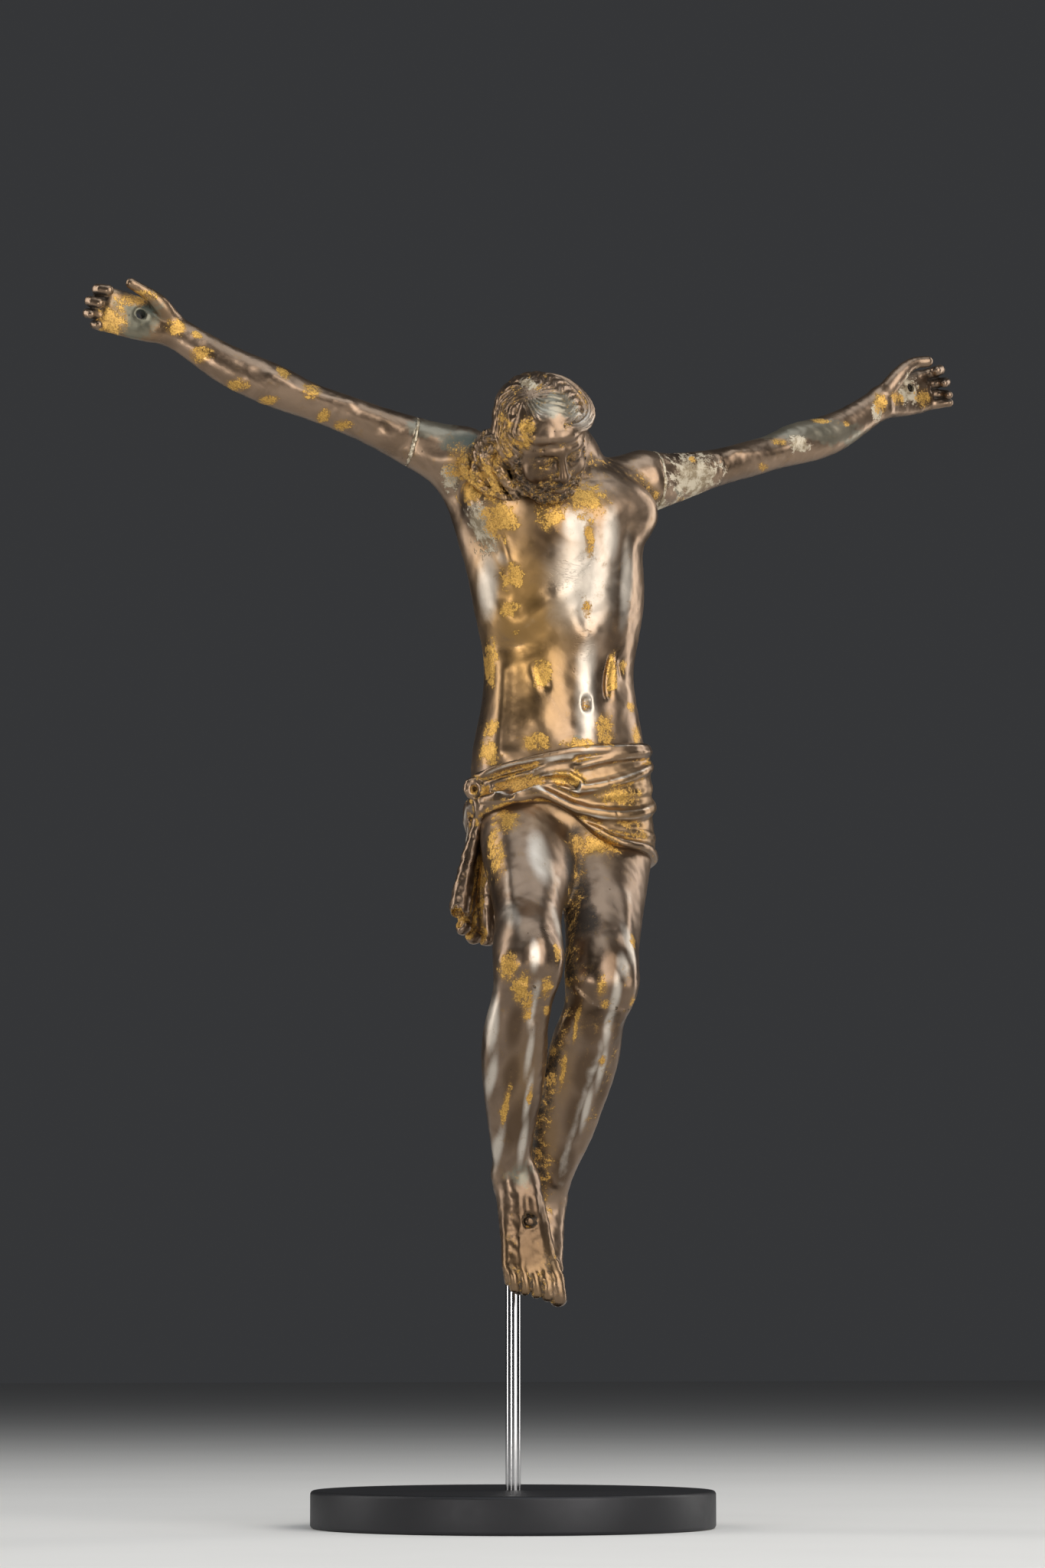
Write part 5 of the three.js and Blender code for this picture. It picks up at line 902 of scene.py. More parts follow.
def evaluate(field, points):
    """The field at many points, worked out in groups that lie close together."""
    keys = np.floor((points - points.min(0)) / GROUP_SIZE).astype(np.int64)
    key = (keys[:, 0] * GROUP_COUNT + keys[:, 1]) * GROUP_COUNT + keys[:, 2]
    order = np.argsort(key, kind="stable")
    cuts = np.flatnonzero(np.diff(key[order])) + 1
    groups = np.split(order, cuts)
    out = np.empty(len(points))
    with ThreadPoolExecutor(THREADS) as pool:
        for group, values in zip(groups, pool.map(lambda g: field(points[g]), groups)):
            out[group] = values
    return out


def strides_of(values):
    """How far apart in the grid's flat order the neighbours along each axis are."""
    return np.array((values.shape[1] * values.shape[2], values.shape[2], 1))


def sampled(field, low, high, step):
    """The field on a grid. Only the blocks near the surface are worked out node by node."""
    counts = np.ceil((np.array(high) - low) / (step * BLOCK)).astype(int)
    where = np.stack(np.meshgrid(*[np.arange(n) for n in counts], indexing="ij"), -1).reshape(-1, 3)
    middles = evaluate(field, low + step * BLOCK * (where + 0.5))
    sign = np.where(middles < 0, -1.0, 1.0).reshape(counts)
    values = np.ones(counts * BLOCK + 1, np.float32)
    values[:-1, :-1, :-1] = sign.repeat(BLOCK, 0).repeat(BLOCK, 1).repeat(BLOCK, 2)
    near = where[np.abs(middles) < BLOCK * step * BLOCK_REACH + BLOCK_SPARE]
    nodes = np.stack(np.meshgrid(*[np.arange(BLOCK + 1)] * 3, indexing="ij"), -1).reshape(-1, 3)
    index = (near[:, None, :] * BLOCK + nodes[None]).reshape(-1, 3)
    flat = np.unique(index @ strides_of(values))
    spots = np.stack(np.unravel_index(flat, values.shape), -1)
    values.ravel()[flat] = evaluate(field, low + step * spots)
    return values


def netted(values, low, step):
    """Quads between the cells that the surface crosses."""
    inside = values < 0
    strides = strides_of(values)
    spots, rings = [], []
    for axis in range(3):
        here, there = [slice(None)] * 3, [slice(None)] * 3
        here[axis], there[axis] = slice(0, -1), slice(1, None)
        node = np.argwhere(inside[tuple(here)] != inside[tuple(there)])
        ahead = node.copy()
        ahead[:, axis] += 1
        start, end = values[tuple(node.T)], values[tuple(ahead.T)]
        spot = node.astype(float)
        spot[:, axis] += start / (start - end)
        u, w = strides[(axis + 1) % 3], strides[(axis + 2) % 3]
        home = node @ strides
        ring = np.stack([home - u - w, home - w, home, home - u], axis=1)
        ring[start > 0] = ring[start > 0][:, ::-1]
        rings.append(ring.ravel())
        spots.append(np.repeat(spot, 4, axis=0))
    index = np.unique(np.concatenate(rings), return_inverse=True)[1]
    spots = np.concatenate(spots)
    count = np.bincount(index)
    points = np.stack([np.bincount(index, spots[:, a]) / count for a in range(3)], axis=1)
    return low + step * points, index.reshape(-1, 4)


def surface(field, low, high, step):
    """Points and quads of the surface, with the outward direction at each point."""
    low = np.array(low, float)
    points, quads = netted(sampled(field, low, high, step), low, step)
    probe, base = step * PROBE, evaluate(field, points)
    slope = np.stack([evaluate(field, points + probe * axis) - base for axis in np.eye(3)], axis=1) / probe
    for again in (True, False):
        move = -base / np.maximum((slope ** 2).sum(1), LEAST_SLOPE)
        points = points + np.clip(move, -step / 2, step / 2)[:, None] * slope
        if again:
            base = evaluate(field, points)
    return points, quads, slope / np.maximum(np.linalg.norm(slope, axis=1), 1e-6)[:, None]


def hollowness(field, points, out, reach):
    """How closed in a place is: 0 on flat ground, up to 1 in a narrow groove, under 0 on a ridge."""
    return 1 - evaluate(field, points + reach * out) / reach


# Where the gilding has stayed and the joints were filled, where the metal is dark, and where shade, shadow
# and highlights are painted on as darker and lighter metal.
# Rows, in figure units: x, y, z of the middle, half width, half height.

MARKS = {
    "gilt": [
        (-19.5, -40.4, 319.7, 5.4, 6.4), (-3.5, -45.2, 321.3, 4.4, 4.4), (9, -43.3, 327.9, 7, 6.4),
        (-13.7, -37.5, 301.9, 3, 3.6), (-14, -34.8, 291.6, 2.8, 2.4), (-11.5, -32.8, 284.6, 1.1, 1.1),
        (-16.3, -23.1, 275.3, 1.5, 7), (-16.3, -23.8, 254.6, 1.6, 2.6), (-17.2, -22.7, 246.5, 3, 3.8),
        (-2.5, -33.9, 272.1, 2.4, 5.2), (-4.4, -33.5, 249.3, 4.2, 2.6), (8.8, -36.5, 249.2, 5, 1.6),
        (9.9, -42.9, 315.6, 1.8, 5.8), (10.6, -38.3, 292.5, 1.5, 2.2), (21.1, -33.5, 271.6, 1.8, 6.6),
        (25.7, -32.6, 275.2, 1.6, 2), (29.2, -31, 262.6, 2.2, 1.4), (18.3, -35.7, 253.7, 3, 5.2),
        (30.8, -30.8, 253.7, 2.2, 2.8), (-18.8, -36, 214, 1.8, 17), (-14.1, -32.8, 224.3, 3.6, 4.2),
        (14.8, -33.7, 217, 8, 3.4), (-23.9, -62.3, 174.8, 2.4, 4.2), (-19.9, -61.6, 168.3, 2.3, 4.6),
        (-16.6, -59.7, 162.6, 1.8, 4), (-11.6, -61.8, 168.5, 2, 2.8), (-8.6, -63.5, 179.2, 1.6, 3),
        (-9.6, -56.5, 161.5, 1.1, 1.4), (7.8, -60, 169.2, 1.6, 3), (9.6, -57.1, 163.9, 1.3, 1.3),
        (21, -51.3, 184, 1.3, 2.6), (19.2, -54.5, 165.5, 1.1, 2.2), (12.9, -46.5, 147.1, 1.3, 1.7),
        (-18.2, -43.7, 132.9, 0.9, 6.8), (-11, -45.8, 136, 0.9, 2.8), (-118, -9.1, 381.2, 2.9, 2.4),
        (-30.7, -34.1, 336.9, 4, 6), (-27.9, -37.2, 330.3, 4, 5), (54.1, -23.9, 346.7, 1.4, 1.4),
        (-22, -42, 334, 4.5, 8), (-18, -60, 344, 2.2, 5), (-21.5, -52, 346, 2.4, 8), (3, -51.5, 158, 0.6, 7),
        (1.4, -42.1, 143.7, 0.6, 6), (24, -36, 233, 8, 2.6), (5, -37, 238, 6, 2.2), (31, -28, 222, 4, 4),
        (-8, -32, 237, 5, 2), (-110.1, -11.1, 372.4, 3.2, 2.4), (-98.6, -13, 362.9, 3.2, 1.8),
        (-88.8, -14.6, 358.3, 2.5, 1.3), (-84.5, -17, 367.1, 2.2, 2.1), (-75.9, -19.9, 361.4, 2.9, 2.4),
        (-71.4, -18.9, 353.7, 1.7, 1.9), (-65.5, -19.8, 351, 2.4, 1.3), (-111.4, -10.2, 379, 1.6, 1.1),
        (128.9, -8.3, 374, 2.2, 3.4), (105.2, -12.6, 365.5, 2.9, 0.8), (114.7, -12, 365.5, 1.2, 1),
        (88, -16.8, 356.4, 2.4, 1.3), (82, -17.1, 347.5, 2.2, 1.1), (52.1, -25.4, 333.2, 2.4, 1.6),
        (-131, -8, 390, 6, 2), (-138, -7, 382, 4, 5), (136, -6.1, 376.8, 3, 2), (148, -3, 379, 3, 3),
    ],
    "filler": [
        (-23.7, -35, 317.3, 4.6, 10), (-31.7, -29.6, 335.2, 2.6, 5.6), (42.5, -22.2, 330.2, 3.4, 2),
        (54, -22, 341, 9.5, 7), (95.4, -16.9, 356.2, 4.2, 2.6), (127.6, -8.3, 371, 2, 2.6),
        (142, -6, 381, 5, 5), (-16.5, -59.5, 360.3, 2, 2),
    ],
    # Painted shade in the gap between the thighs and under the locks at the right shoulder.
    "gap_shade": [
        (7, -30, 204, 6, 15), (5, -44, 190, 5, 8), (7, -40, 205, 3.8, 13), (7.4, -47, 190, 3.6, 8),
        (9, -34, 217, 3.4, 5), (-27.5, -32, 344, 7, 4),
    ],
    # Painted shade and shadow: dark bands down the shins, the left leg where the right leg crosses in front
    # of it, the inner thighs and the sides of the chest; a darker tone on the beard, the right palm and the
    # foot.
    "shade": [
        (6.2, -55, 175, 3.6, 10), (7.6, -52, 160, 3.6, 11), (8.2, -44.8, 144, 3.6, 11),
        (7.8, -37, 130, 3.6, 11), (7, -28, 116, 3.4, 9), (13.4, -57, 176, 5, 9), (-3, -43, 314, 6, 9),
        (-19.6, -56, 156.8, 2.4, 9), (-18.1, -48.3, 141.5, 2.4, 9), (-14.8, -40.7, 125.9, 2.4, 9),
        (18, -50, 150, 2.6, 16), (16, -42, 133, 2.6, 12), (-8, -60, 332, 12, 8), (-8, -36, 94, 9, 15),
        (-131, -8, 383, 7, 5), (-12, -42, 128, 5, 12), (20, -36, 205, 3.4, 14), (22, -38, 290, 4, 24),
        (-21, -42, 200, 3, 12),
    ],
    "verdigris": [
        (-132, -8, 384, 9, 8), (-38, -26, 350, 9, 4), (90, -8, 362, 40, 5), (48.6, -25.2, 336.2, 2.2, 1.8),
        (-29, -30, 346, 8, 4.5), (-9, -62, 352, 9, 5), (9, -36.3, 250.5, 1.6, 1.8), (-9.5, -30, 112, 5, 6),
    ],
    # A golden tone of thin gilding on trunk, hips, palm and foot, and on the shins painted lit bands and
    # highlights.
    "warm_tone_and_lit_band": [
        (-9, -36, 285, 15, 40), (20, -30, 230, 26, 14), (-14, -50, 140, 5, 34), (2.4, -51, 163, 3, 12),
        (1.8, -42, 143, 3, 14), (0.6, -31, 122, 3, 14), (-132, -8, 384, 10, 8), (-6, -35, 84, 11, 12),
    ],
    "scratched": [
        (2.3, -42.8, 302, 6, 5), (8.2, -42.5, 305.6, 2.6, 3), (10.4, -38, 280.8, 4, 5), (9, -41, 309, 4, 2),
    ],
    # Metal worn bright on ridges, and painted highlights along the shins, on the knees and down the chest and
    # flank.
    "rubbed_and_highlight": [
        (8.5, -41, 301, 11, 15), (11.6, -36, 266, 3.4, 20), (17.5, -42, 316, 3, 9), (24.5, -38, 303, 2.4, 14),
        (-20, -30, 296, 2.4, 12), (-7, -45, 212, 3.5, 14), (-20.5, -54, 188, 2, 9), (-6.5, -56, 186, 2, 9),
        (19, -54, 182, 2, 8), (-13, -62, 350, 4, 2.5), (1, -68, 349, 6, 4), (6, -45, 318, 5, 6),
        (-25.5, -52.1, 156.9, 1.2, 11), (-23.7, -45.5, 141.5, 1.2, 11), (-17.8, -34.7, 119.6, 1.2, 11),
        (-16.9, -66, 178.2, 1.6, 5), (-15, -60, 163.1, 1.5, 9), (-13.7, -53, 149.2, 1.3, 9),
        (-11.6, -45.9, 135.3, 1.3, 9), (-10.8, -38.8, 121.2, 1.4, 9), (15.3, -60, 176.6, 2.2, 4),
        (12.9, -59, 166.9, 1.6, 7), (12.9, -53.2, 157.7, 1.4, 9), (13.3, -45.3, 145.4, 1.4, 9),
        (10.8, -38.3, 132.9, 1.4, 9),
    ],
}
# How dark the patina is, by height: a mauve tone, and painted shade that darkens legs, feet and head more
# than the chest. Rows: height and share of the darker patina
MAUVE_TONE_AND_SHADE = spline((60, 110, 150, 190, 212, 236, 262, 300, 330, 360, 400),
              (0.5, 0.55, 0.7, 0.65, 0.6, 0.45, 0.15, 0, 0.15, 0.35, 0.5))
MARK_DEPTH = 6
MARK_START, MARK_FADE = 1.35, 0.85    # strength in a mark's middle, and how fast it falls from there
BRONZE = "worn_gilt_bronze"


def mark_of(rows, points):
    """How strongly each point lies in one of the places: 1 in a middle, 0 well outside."""
    strength = np.zeros(len(points))
    for x, y, z, half_width, half_height in rows:
        deep = max(half_width, MARK_DEPTH)
        far = np.sqrt((((points - (x, y, z)) / (half_width, deep, half_height)) ** 2).sum(1))
        strength = np.maximum(strength, np.clip(MARK_START - MARK_FADE * far, 0, 1))
    return strength


def in_metres(points):
    return (points * UNIT + (0, 0, LIFT)) * MM


def add_values(mesh, label, values):
    layer = mesh.attributes.new(label, "FLOAT", "POINT")
    layer.data.foreach_set("value", values.astype(np.float32))


def linked(name, data, finish=None):
    """An object in the scene that shows the data, in a finish where one is given."""
    made = bpy.data.objects.new(name, data)
    bpy.context.scene.collection.objects.link(made)
    if finish:
        data.materials.append(finish)
    return made


def cast(name, field, low, high, step, finish, gild_hollows):
    """The piece whose surface is the field, as a mesh with what its finish reads."""
    points, quads, out = surface(field, low, high, step)
    mesh = bpy.data.meshes.new(name)
    mesh.vertices.add(len(points))
    mesh.loops.add(quads.size)
    mesh.polygons.add(len(quads))
    mesh.vertices.foreach_set("co", in_metres(points).astype(np.float32).ravel())
    mesh.loops.foreach_set("vertex_index", quads.astype(np.int32).ravel())
    mesh.polygons.foreach_set("loop_start", np.arange(0, quads.size, 4, dtype=np.int32))
    mesh.update(calc_edges=True)
    mesh.validate()
    mesh.shade_smooth()
    # The share of mauve patina by height is partly painted shade on legs, feet and head.
    marks = {"groove": hollowness(field, points, out, GROOVE_REACH),
             "hollow": hollowness(field, points, out, HOLLOW_REACH),
             **{label: mark_of(rows, points) for label, rows in MARKS.items()}, "mauve_tone_and_shade": MAUVE_TONE_AND_SHADE(points[:, 2])}
    marks["gilt"] = np.maximum(marks["gilt"], gild_hollows * np.clip(marks["hollow"] * 3.2 - 0.05, 0, 1))
    for label, values in marks.items():
        add_values(mesh, label, values)
    return linked(name, mesh, finish)


# Node trees, written as expressions on their sockets

class Signal:
    """A socket of a node tree, so that sums and products of sockets are written as expressions."""

    def __init__(self, graph, socket):
        self.graph, self.socket = graph, socket

    def math(self, operation, a, b):
        return self.graph.node("ShaderNodeMath", {"operation": operation}, {0: a, 1: b})

    def __add__(self, other):
        return self.math("ADD", self, other)

    def __mul__(self, other):
        return self.math("MULTIPLY", self, other)

    def __sub__(self, other):
        return self.math("SUBTRACT", self, other)

    def __rsub__(self, other):
        return self.math("SUBTRACT", other, self)

    def high(self, other):
        return self.math("MAXIMUM", self, other)

    __radd__, __rmul__ = __add__, __mul__


class Graph:
    """A node tree in the making."""

    def node(self, kind, settings=None, sockets=None, output=0):
        """Adds a node with its settings and its sockets' values, and gives one of its outputs."""
        made = self.tree.nodes.new(kind)
        for name, value in (settings or {}).items():
            setattr(made, name, value)
        for name, value in (sockets or {}).items():
            if isinstance(value, Signal):
                self.tree.links.new(value.socket, made.inputs[name])
            else:
                made.inputs[name].default_value = value
        return Signal(self, made.outputs[output]) if made.outputs else None


class Finish(Graph):
    """The node tree of one material."""

    def __init__(self, name):
        self.material = bpy.data.materials.new(name)
        self.material.use_nodes = True
        self.tree = self.material.node_tree
        self.tree.nodes.clear()
        self.place = self.node("ShaderNodeTexCoord", output="Object")

    def noise(self, per_mm, detail=3, roughness=0.55, distortion=0, place=None):
        return self.node("ShaderNodeTexNoise", None, {
            "Vector": place or self.place, "Scale": per_mm / MM, "Detail": detail,
            "Roughness": roughness, "Distortion": distortion})

    def cells(self, per_mm, output="Distance"):
        sockets = {"Vector": self.place, "Scale": per_mm / MM}
        return self.node("ShaderNodeTexVoronoi", {"feature": "F1"}, sockets, output)

    def band(self, value, low, high):
        """0 under low and 1 over high, with a smooth step between."""
        return self.node("ShaderNodeMapRange", {"interpolation_type": "SMOOTHSTEP"},
                         {"Value": value, "From Min": low, "From Max": high})

    def attribute(self, name):
        return self.node("ShaderNodeAttribute", {"attribute_name": name}, output="Fac")

    def mix(self, a, b, factor):
        a, b = [colour if isinstance(colour, Signal) else (*colour, 1) for colour in (a, b)]
        return self.node("ShaderNodeMix", {"data_type": "RGBA"}, {0: factor, 6: a, 7: b}, 2)

    def bump(self, height, strength, distance, normal=None):
        sockets = {"Height": height, "Strength": strength, "Distance": distance * MM}
        if normal:
            sockets["Normal"] = normal
        return self.node("ShaderNodeBump", None, sockets)

    def close(self, **sockets):
        shader = self.node("ShaderNodeBsdfPrincipled", None, {
            name.replace("_", " "): value for name, value in sockets.items()})
        self.node("ShaderNodeOutputMaterial", None, {0: shader})
        return self.material


def bronze_finish(colours):
    """Worn gilt bronze. Numbers give how strong a layer is and where its edge begins and ends."""
    f = Finish(BRONZE)
    groove, hollow, gilt, filler = map(f.attribute, ("groove", "hollow", "gilt", "filler"))
    cloud = f.noise(0.07, 4, 0.55, 0.6)
    flake = f.noise(0.30, 6, 0.68, 0.3)
    grain = f.noise(1.9, 3, 0.6)

    def where(label, noise, spread, low, high):
        """Where a mark is strong, with an edge that the noise makes uneven."""
        return f.band(f.attribute(label) + spread * (noise - 0.5), low, high)

    worn = f.band(0.6 * (cloud - 0.5) - hollow, 0.14, 0.5)
    # Bare metal where the patina is worn off, and painted highlights from the marks.
    rubbed_and_highlight = where("rubbed_and_highlight", cloud, 0.8, 0.1, 1.1)
    # Deposits in grooves and hollows, and painted shade there: the groove and hollow measures darken creases,
    # fold valleys and recesses.
    hollow_shade_and_deposit = f.band(groove + 0.8 * hollow + 0.8 * (flake - 0.5), 0.2, 0.75)
    # The dark share also takes in the painted shade between the thighs and at the right shoulder.
    dark = hollow_shade_and_deposit.high(where("gap_shade", flake, 1.2, 0.05, 0.75))
    green = where("verdigris", flake, 1.6, 0.4, 0.7)
    ragged = 3.4 * (flake - 0.5) + 1.5 * (grain - 0.5)
    stain = f.band(gilt + 0.5 * ragged, 0.12, 0.6)
    leaf = f.band(gilt, 0.06, 0.24) * f.band(gilt + ragged, 0.58, 0.70)
    gold = f.mix(colours.tarnished_gold, colours.gold, f.band(0.7 * grain + 0.3 * flake, 0.38, 0.62))
    chalk = f.band(filler, 0.02, 0.2) * f.band(filler + 0.8 * ragged, 0.40, 0.56)
    putty = f.mix(colours.filler, colours.solder, f.band(flake, 0.42, 0.58))
    pitted = f.node("ShaderNodeSeparateColor", None, {0: f.cells(0.22, "Color")})
    pits = f.band(pitted, 0.55, 0.6) * f.band(f.cells(0.22), 0.07, 0.02)
    colour = f.mix(colours.dark_patina, colours.bronze, f.band(cloud, 0.36, 0.6))
    # Layers from first to last. The darkest brown, the mauve and the dark deposit layers also carry painted
    # shade, the bare metal layer painted highlights, and the golden patina painted lit bands on the shins.
    for layer, share in (
            (colours.golden_patina_and_lit_band, f.attribute("warm_tone_and_lit_band") * f.band(cloud, 0.1, 0.5)),
            (colours.mauve_patina_and_shade, f.attribute("mauve_tone_and_shade")),
            (colours.deep_brown_and_shade, 0.8 * where("shade", cloud, 0.9, 0.1, 0.9)),
            (colours.worn_metal_and_highlight, 0.75 * worn.high(rubbed_and_highlight)),
            (colours.grime_and_shade, 0.9 * dark),
            (colours.verdigris, 0.45 * green),
            (colours.golden_patina_and_lit_band, 0.7 * stain),
            (putty, chalk),
            (gold, leaf),
            (colours.grime_and_shade, 0.6 * pits)):
        colour = f.mix(colour, layer, share)
    rough = (0.33 + 0.12 * rubbed_and_highlight + 0.25 * (cloud - 0.5) + 0.16 * leaf + 0.22 * chalk + 0.25 * dark
             + 0.14 * (grain - 0.5))
    along = f.node("ShaderNodeMapping", None, {"Vector": f.place, "Scale": (0.16, 1, 1)})
    fine = f.band(f.noise(2.6, 2, 0.5, place=along), 0.56, 0.64)
    scratches = fine * where("scratched", flake, 0.8, 0.35, 0.7)
    height = (-0.5 * scratches + 0.8 * leaf + 0.9 * chalk + 0.5 * grain * (leaf + chalk + dark + 0.1)
              - 0.6 * pits)
    normal = f.bump(cloud, 0.2, 0.8, f.bump(height, 0.7, 0.16))
    metal = 0.95 - 0.5 * dark - 0.35 * chalk - 0.3 * green
    return f.close(Base_Color=colour, Metallic=metal, Roughness=rough, Normal=normal)


def steel_finish(colours):
    f = Finish("polished_steel")
    shade = f.mix(colours.steel, [c * 0.85 for c in colours.steel], f.noise(0.3))
    normal = f.bump(f.noise(0.12), 0.03, 0.05)
    return f.close(Base_Color=shade, Metallic=1, Roughness=0.05 + 0.06 * f.noise(0.4), Normal=normal)


def plate_finish(colours):
    f = Finish("satin_black_steel")
    shade = f.mix(colours.plate, [c * 1.6 for c in colours.plate], f.noise(0.05))
    normal = f.bump(f.noise(2.5), 0.2, 0.06)
    return f.close(Base_Color=shade, Metallic=0.6, Roughness=0.42 + 0.12 * f.noise(0.3), Normal=normal)


def solder_finish(colours):
    f = Finish("tin_solder")
    cloud, grain = f.noise(0.5, 4, 0.6), f.noise(3, 3, 0.6)
    colour = f.mix(colours.filler, colours.solder, f.band(cloud, 0.38, 0.56))
    colour = f.mix(colour, colours.grime_and_shade, 0.7 * f.band(grain, 0.58, 0.74))
    normal = f.bump(0.6 * cloud + 0.4 * grain, 0.8, 0.2)
    return f.close(Base_Color=colour, Metallic=0.75, Roughness=0.42 + 0.25 * (grain - 0.5), Normal=normal)


# Solder along the joints of the arms: a bead that follows each seam, with lumps on it

SEAM_POINTS = 96
SEAM_REACH = 30.0     # more than the arm's radius at its seam
HALVINGS = 24         # steps in which the arm's surface is searched for
SOLDER_SINK = 0.35    # how deep the bead's middle lies under the surface


class Tree(Graph):
    """The geometry tree of one kind of piece, with its sizes as named inputs."""

    def __init__(self, name, inputs):
        self.tree = bpy.data.node_groups.new(name, "GeometryNodeTree")
        sockets = self.tree.interface
        sockets.new_socket("Geometry", in_out="INPUT", socket_type="NodeSocketGeometry")
        self.keys = {}
        for label, (kind, default) in inputs.items():
            made = sockets.new_socket(label, in_out="INPUT", socket_type=kind)
            made.default_value = default
            self.keys[label] = made.identifier
        sockets.new_socket("Geometry", in_out="OUTPUT", socket_type="NodeSocketGeometry")
        self.start = self.tree.nodes.new("NodeGroupInput")

    def size(self, label):
        return Signal(self, self.start.outputs[label])

    def noise(self, per_mm):
        return self.node("ShaderNodeTexNoise", None, {"Scale": per_mm / MM, "Detail": 2})

    def random(self, kind, output, sockets):
        sockets = {**sockets, "Seed": self.size("Seed")}
        return self.node("FunctionNodeRandomValue", {"data_type": kind}, sockets, output)

    def result(self, mesh, finish):
        real = self.node("GeometryNodeRealizeInstances", None, {0: mesh})
        dressed = self.node("GeometryNodeSetMaterial", None, {"Geometry": real, "Material": finish})
        self.node("NodeGroupOutput", None, {0: dressed})

    def applied(self, name, base, finish, values):
        """The tree's result on a base mesh, as a plain mesh piece."""
        carrier = linked(name + "_path", base)
        modifier = carrier.modifiers.new("nodes", "NODES")
        modifier.node_group = self.tree
        for label, value in values.items():
            modifier[self.keys[label]] = value
        view = bpy.context.evaluated_depsgraph_get()
        mesh = bpy.data.meshes.new_from_object(carrier.evaluated_get(view), depsgraph=view)
        bpy.data.objects.remove(carrier)
        mesh.name = name
        mesh.materials.clear()
        mesh.polygons.foreach_set("material_index", np.zeros(len(mesh.polygons), np.int32))
        return linked(name, mesh, finish)


def solder_tree(finish):
    """A bead of solder along a closed path, thick where its strength is high, with lumps on it."""
    t = Tree("solder_bead", {
        "Bead radius": ("NodeSocketFloat", 0.75 * MM), "Spacing": ("NodeSocketFloat", 0.3 * MM),
        "Lump radius": ("NodeSocketFloat", 0.7 * MM), "Lump share": ("NodeSocketFloat", 0.3),
        "Unevenness": ("NodeSocketFloat", 0.3 * MM), "Seed": ("NodeSocketInt", 5)})
    path = t.node("GeometryNodeMeshToCurve", None, {0: t.size("Geometry")})
    even = t.node("GeometryNodeResampleCurve", {"mode": "LENGTH"}, {
        "Curve": path, "Length": t.size("Spacing")})
    strength = t.node("GeometryNodeInputNamedAttribute", {"data_type": "FLOAT"}, {"Name": "strength"})
    girth = strength * (t.noise(0.45) * 1.7)
    ring = t.node("GeometryNodeCurvePrimitiveCircle", None, {
        "Resolution": 10, "Radius": t.size("Bead radius")})
    bead = t.node("GeometryNodeCurveToMesh", None, {"Curve": even, "Profile Curve": ring, "Scale": girth})
    chosen = t.random("BOOLEAN", 3, {"Probability": t.size("Lump share")})
    share = t.random("FLOAT", 1, {2: 0.35, 3: 1.25})
    turn = t.random("FLOAT_VECTOR", 0, {1: (6.3, 6.3, 6.3)})
    lump = t.node("GeometryNodeMeshIcoSphere", None, {
        "Radius": t.size("Lump radius"), "Subdivisions": 2})
    lumps = t.node("GeometryNodeInstanceOnPoints", None, {
        "Points": even, "Instance": lump, "Selection": chosen, "Rotation": turn, "Scale": girth * share})
    both = t.node("GeometryNodeJoinGeometry", None, {0: bead})
    t.tree.links.new(lumps.socket, both.socket.node.inputs[0])
    solid = t.node("GeometryNodeRealizeInstances", None, {0: both})
    push = (t.noise(1.1) - 0.5) * t.size("Unevenness")
    out = t.node("ShaderNodeVectorMath", {"operation": "SCALE"}, {
        0: t.node("GeometryNodeInputNormal"), "Scale": push})
    t.result(t.node("GeometryNodeSetPosition", None, {0: solid, "Offset": out}), finish)
    return t


def seam_path(seam, low_front):
    """The line where an arm's surface crosses its seam, with how much solder lies at each place:
    most in front, and low in front by a share of its own."""
    middle, out = np.array(seam[0]), seam[1]
    up = unit_vector(np.array((0, 0, 1)) - out[2] * out)
    fore = unit_vector(np.array(FORWARD) - np.dot(FORWARD, out) * out)
    angles = np.linspace(0, 2 * math.pi, SEAM_POINTS, endpoint=False)
    ways = np.outer(np.cos(angles), fore) + np.outer(np.sin(angles), up)
    near, far = np.zeros(SEAM_POINTS), np.full(SEAM_POINTS, SEAM_REACH)
    for _ in range(HALVINGS):
        radius = (near + far) / 2
        points = middle + ways * radius[:, None]
        inside = arm_flesh(points) - raised(ARM_RELIEF, points) < 0
        near, far = np.where(inside, radius, near), np.where(inside, far, radius)
    mesh = bpy.data.meshes.new("seam")
    placed = in_metres(middle + ways * (near - SOLDER_SINK)[:, None])
    mesh.from_pydata(placed.tolist(), [(i, (i + 1) % SEAM_POINTS) for i in range(SEAM_POINTS)], [])
    front = np.maximum(np.cos(angles), 0)
    strength = 0.35 + 0.65 * front + low_front * (np.maximum(-np.sin(angles), 0) * front)
    add_values(mesh, "strength", strength)
    return mesh


# Turned pieces

SHARP_ANGLE = math.radians(35)
ROD_EDGE = 0.5        # width of the bevels of the rod and of the plate, in millimetres
PLATE_EDGE = 1.2
FLAT_RIM = 1.5        # of the bevel's width, where the plate's top begins to be plain flat
ROD_SIDES, PLATE_SIDES = 96, 128


